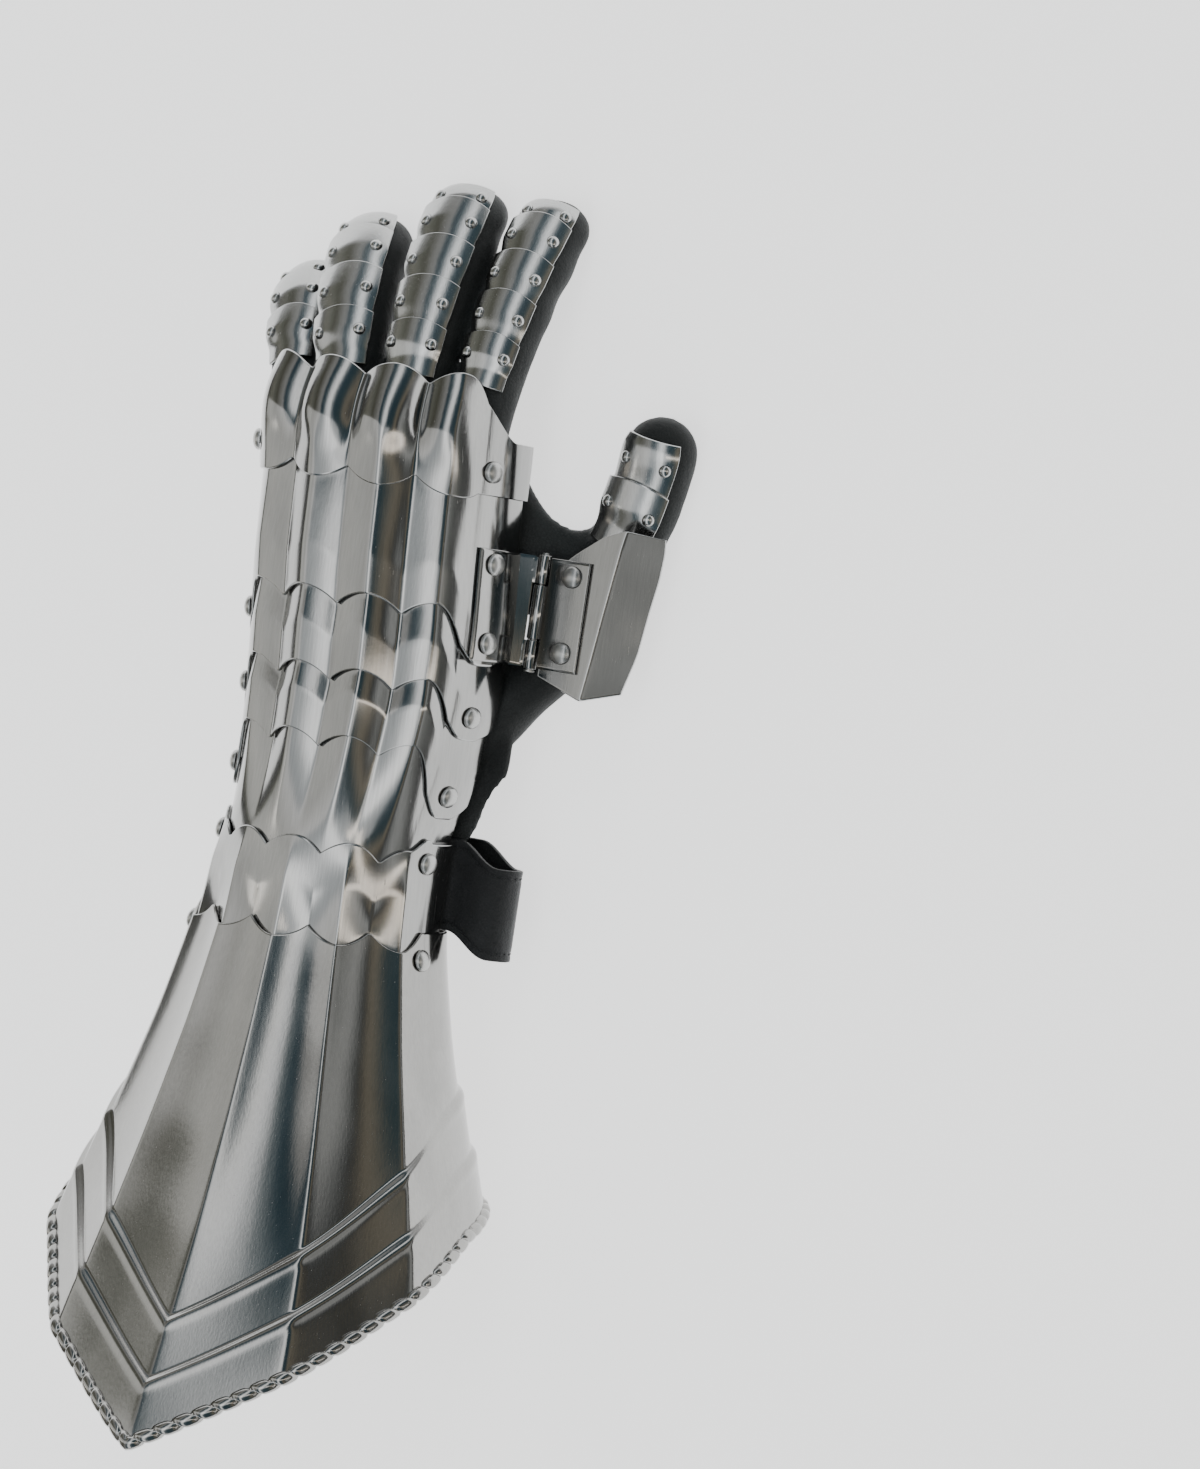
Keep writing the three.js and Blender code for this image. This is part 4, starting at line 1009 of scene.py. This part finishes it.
def strap():
    line = smooth_line(STRAP_PATH, 12)
    run = np.concatenate([[0], np.cumsum(np.linalg.norm(np.diff(line, axis=0), axis=1))])
    even = np.linspace(0, run[-1], 150)
    line = np.stack([np.interp(even, run, line[:, k]) for k in (0, 1)], -1)
    along = np.gradient(line, axis=0)
    along /= np.linalg.norm(along, axis=1, keepdims=True)
    out = np.stack([-along[:, 1], along[:, 0]], -1)
    i = np.arange(len(line), dtype=float)

    def at(u, y, lift):
        centre = np.stack([np.interp(u, i, line[:, k]) for k in (0, 1)], -1)
        normal = np.stack([np.interp(u, i, out[:, k]) for k in (0, 1)], -1)
        pressed = 0.3 * np.exp(-((np.abs(y - STRAP_MIDDLE) - STITCH_ASIDE) / 0.7) ** 2)
        height = np.where(lift > LEATHER / 2, lift - LEATHER / 2 - pressed, lift - LEATHER / 2)
        p = centre + normal * height[..., None]
        slant = STRAP_SLANT * ease(centre[..., 0], 42, 58) * ease(-centre[..., 1], 0, 11)
        return np.stack([p[..., 0], y - slant, p[..., 1]], -1)

    vertices, faces, _ = plate_mesh(i, STRAP_ROWS, at, 0.3, 0.2, LEATHER, 0.5)
    parts = [(vertices, faces)]
    pace = STITCH_PACE / (even[1] - even[0])
    for y in (STRAP_MIDDLE - STITCH_ASIDE, STRAP_MIDDLE + STITCH_ASIDE):
        for u in np.arange(2, len(line) - 3, pace):
            ends = at(np.array([u, u + pace * STITCH_SHARE]), np.full(2, y), np.full(2, LEATHER))
            parts.append(stitch(*ends))
    v, f = joined(parts)
    new_object("leather_wrist_strap", v, f, STRAP_LEATHER, "hand", "leather", ["wrist_strap"], SHARP_ANGLE)


strap()

# ---- stage: a pale floor and soft boxes ----
FLOOR_REACH = 1.5


def pale_floor():
    mesh = bpy.data.meshes.new("stage_floor")
    corners = [(x * FLOOR_REACH, y * FLOOR_REACH, 0) for x, y in ((-1, -1), (1, -1), (1, 1), (-1, 1))]
    mesh.from_pydata(corners, [], [[0, 1, 2, 3]])
    floor = bpy.data.objects.new("stage_floor", mesh)
    bpy.context.scene.collection.objects.link(floor)
    material, _, shader, _ = new_material("pale_floor")
    shader.inputs["Base Color"].default_value = (0.92, 0.92, 0.92, 1)
    shader.inputs["Roughness"].default_value = 0.9
    shader.inputs["Emission Color"].default_value = (1, 1, 1, 1)
    shader.inputs["Emission Strength"].default_value = 1.35
    mesh.materials.append(material)


pale_floor()

LIGHTS_AIM = Vector((0, 0, 0.05))


def soft_box(name, place, size, power, colour=(1, 1, 1)):
    """A rectangular light aimed at the gauntlet."""
    light = bpy.data.lights.new(name, "AREA")
    light.shape = "RECTANGLE"
    light.size, light.size_y = size
    light.energy = power
    light.color = colour
    box = bpy.data.objects.new(name, light)
    bpy.context.scene.collection.objects.link(box)
    box.location = place
    box.rotation_euler = (LIGHTS_AIM - Vector(place)).to_track_quat("-Z", "Y").to_euler()


# a broad white box over the little-finger side, a warm strip over the thumb side, and a low fill
soft_box("box_main", (-0.62, 0.05, 1.5), (0.75, 4.6), 8)
soft_box("box_warm", (1.25, 0.0, 1.15), (0.14, 1.7), 2, (1.0, 0.9, 0.78))
soft_box("box_fill", (-1.6, -0.3, 0.75), (0.16, 1.6), 1.5, (1.0, 0.95, 0.88))

# what the steel mirrors from above, from the little-finger side (0) to the thumb side (1)
DOME = [
    (0.0, (0.15, 0.155, 0.12)), (0.06, (0.3, 0.295, 0.25)), (0.11, (0.23, 0.235, 0.2)),
    (0.18, (0.125, 0.125, 0.095)), (0.27, (0.34, 0.34, 0.32)), (0.34, (0.5, 0.5, 0.49)),
    (0.375, (0.035, 0.075, 0.1)), (0.42, (0.05, 0.1, 0.13)), (0.47, (0.33, 0.38, 0.4)),
    (0.497, (0.83, 0.87, 0.9)), (0.535, (1.7, 1.74, 1.78)), (0.6, (1.9, 1.92, 1.92)),
    (0.64, (0.38, 0.43, 0.46)), (0.69, (0.04, 0.085, 0.115)), (0.8, (0.06, 0.1, 0.115)),
    (0.86, (0.34, 0.3, 0.23)), (0.9, (0.04, 0.05, 0.055)), (0.94, (0.6, 0.61, 0.6)),
    (1.0, (0.11, 0.12, 0.11))]
# and near the horizon, from behind the cuff (0) to past the fingers (1)
WALLS = [(0.0, 0.5), (0.22, 0.1), (0.7, 0.1), (0.88, 0.6)]
WALLS_TO_DOME = [(0.02, 0.0), (0.2, 1.0)]


def studio():
    """Dark side walls, paler ones at both ends, and a ceiling of pale and dark bands along the arm."""
    backdrop = bpy.data.worlds.new("studio")
    backdrop.use_nodes = True
    tree = backdrop.node_tree
    direction = node(tree, "ShaderNodeTexCoord").outputs["Generated"]
    parts = node(tree, "ShaderNodeSeparateXYZ")
    tree.links.new(direction, parts.inputs[0])
    # from -1 to 1 into 0 to 1
    across = maths(tree, "MULTIPLY_ADD", parts.outputs["X"], 0.5, 0.5)
    dome = ramp(tree, across, DOME)
    ahead = maths(tree, "MULTIPLY_ADD", parts.outputs["Y"], 0.5, 0.5)
    walls = ramp(tree, ahead, WALLS)
    height = ramp(tree, parts.outputs["Z"], WALLS_TO_DOME)
    background = tree.nodes["Background"]
    tree.links.new(mixed(tree, "MIX", height, walls, dome), background.inputs["Color"])
    background.inputs["Strength"].default_value = 1.0
    bpy.context.scene.world = backdrop


studio()

# ---- camera: over the thumb side, at the photograph's angle ----
CAMERA_LENS = 116.58
CAMERA_LEAN, CAMERA_NOD, CAMERA_TURN = math.radians(23), math.radians(6.95), math.radians(6.53)
CAMERA_AIM, CAMERA_DISTANCE = Vector((0.0864, 0.0361, 0.06)), 1.6


def place_camera():
    data = bpy.data.cameras.new("camera")
    data.lens = CAMERA_LENS
    camera = bpy.data.objects.new("camera", data)
    bpy.context.scene.collection.objects.link(camera)
    bpy.context.scene.camera = camera
    back = Vector((math.sin(CAMERA_LEAN), math.sin(CAMERA_NOD), math.cos(CAMERA_LEAN))).normalized()
    right = Vector((0, 1, 0)).cross(back).normalized()
    up = back.cross(right).normalized()
    up = up * math.cos(CAMERA_TURN) - right * math.sin(CAMERA_TURN)
    right = up.cross(back)
    place = CAMERA_AIM + back * CAMERA_DISTANCE
    camera.matrix_world = Matrix.Translation(place) @ Matrix((right, up, back)).transposed().to_4x4()


place_camera()

bpy.context.view_layer.update()
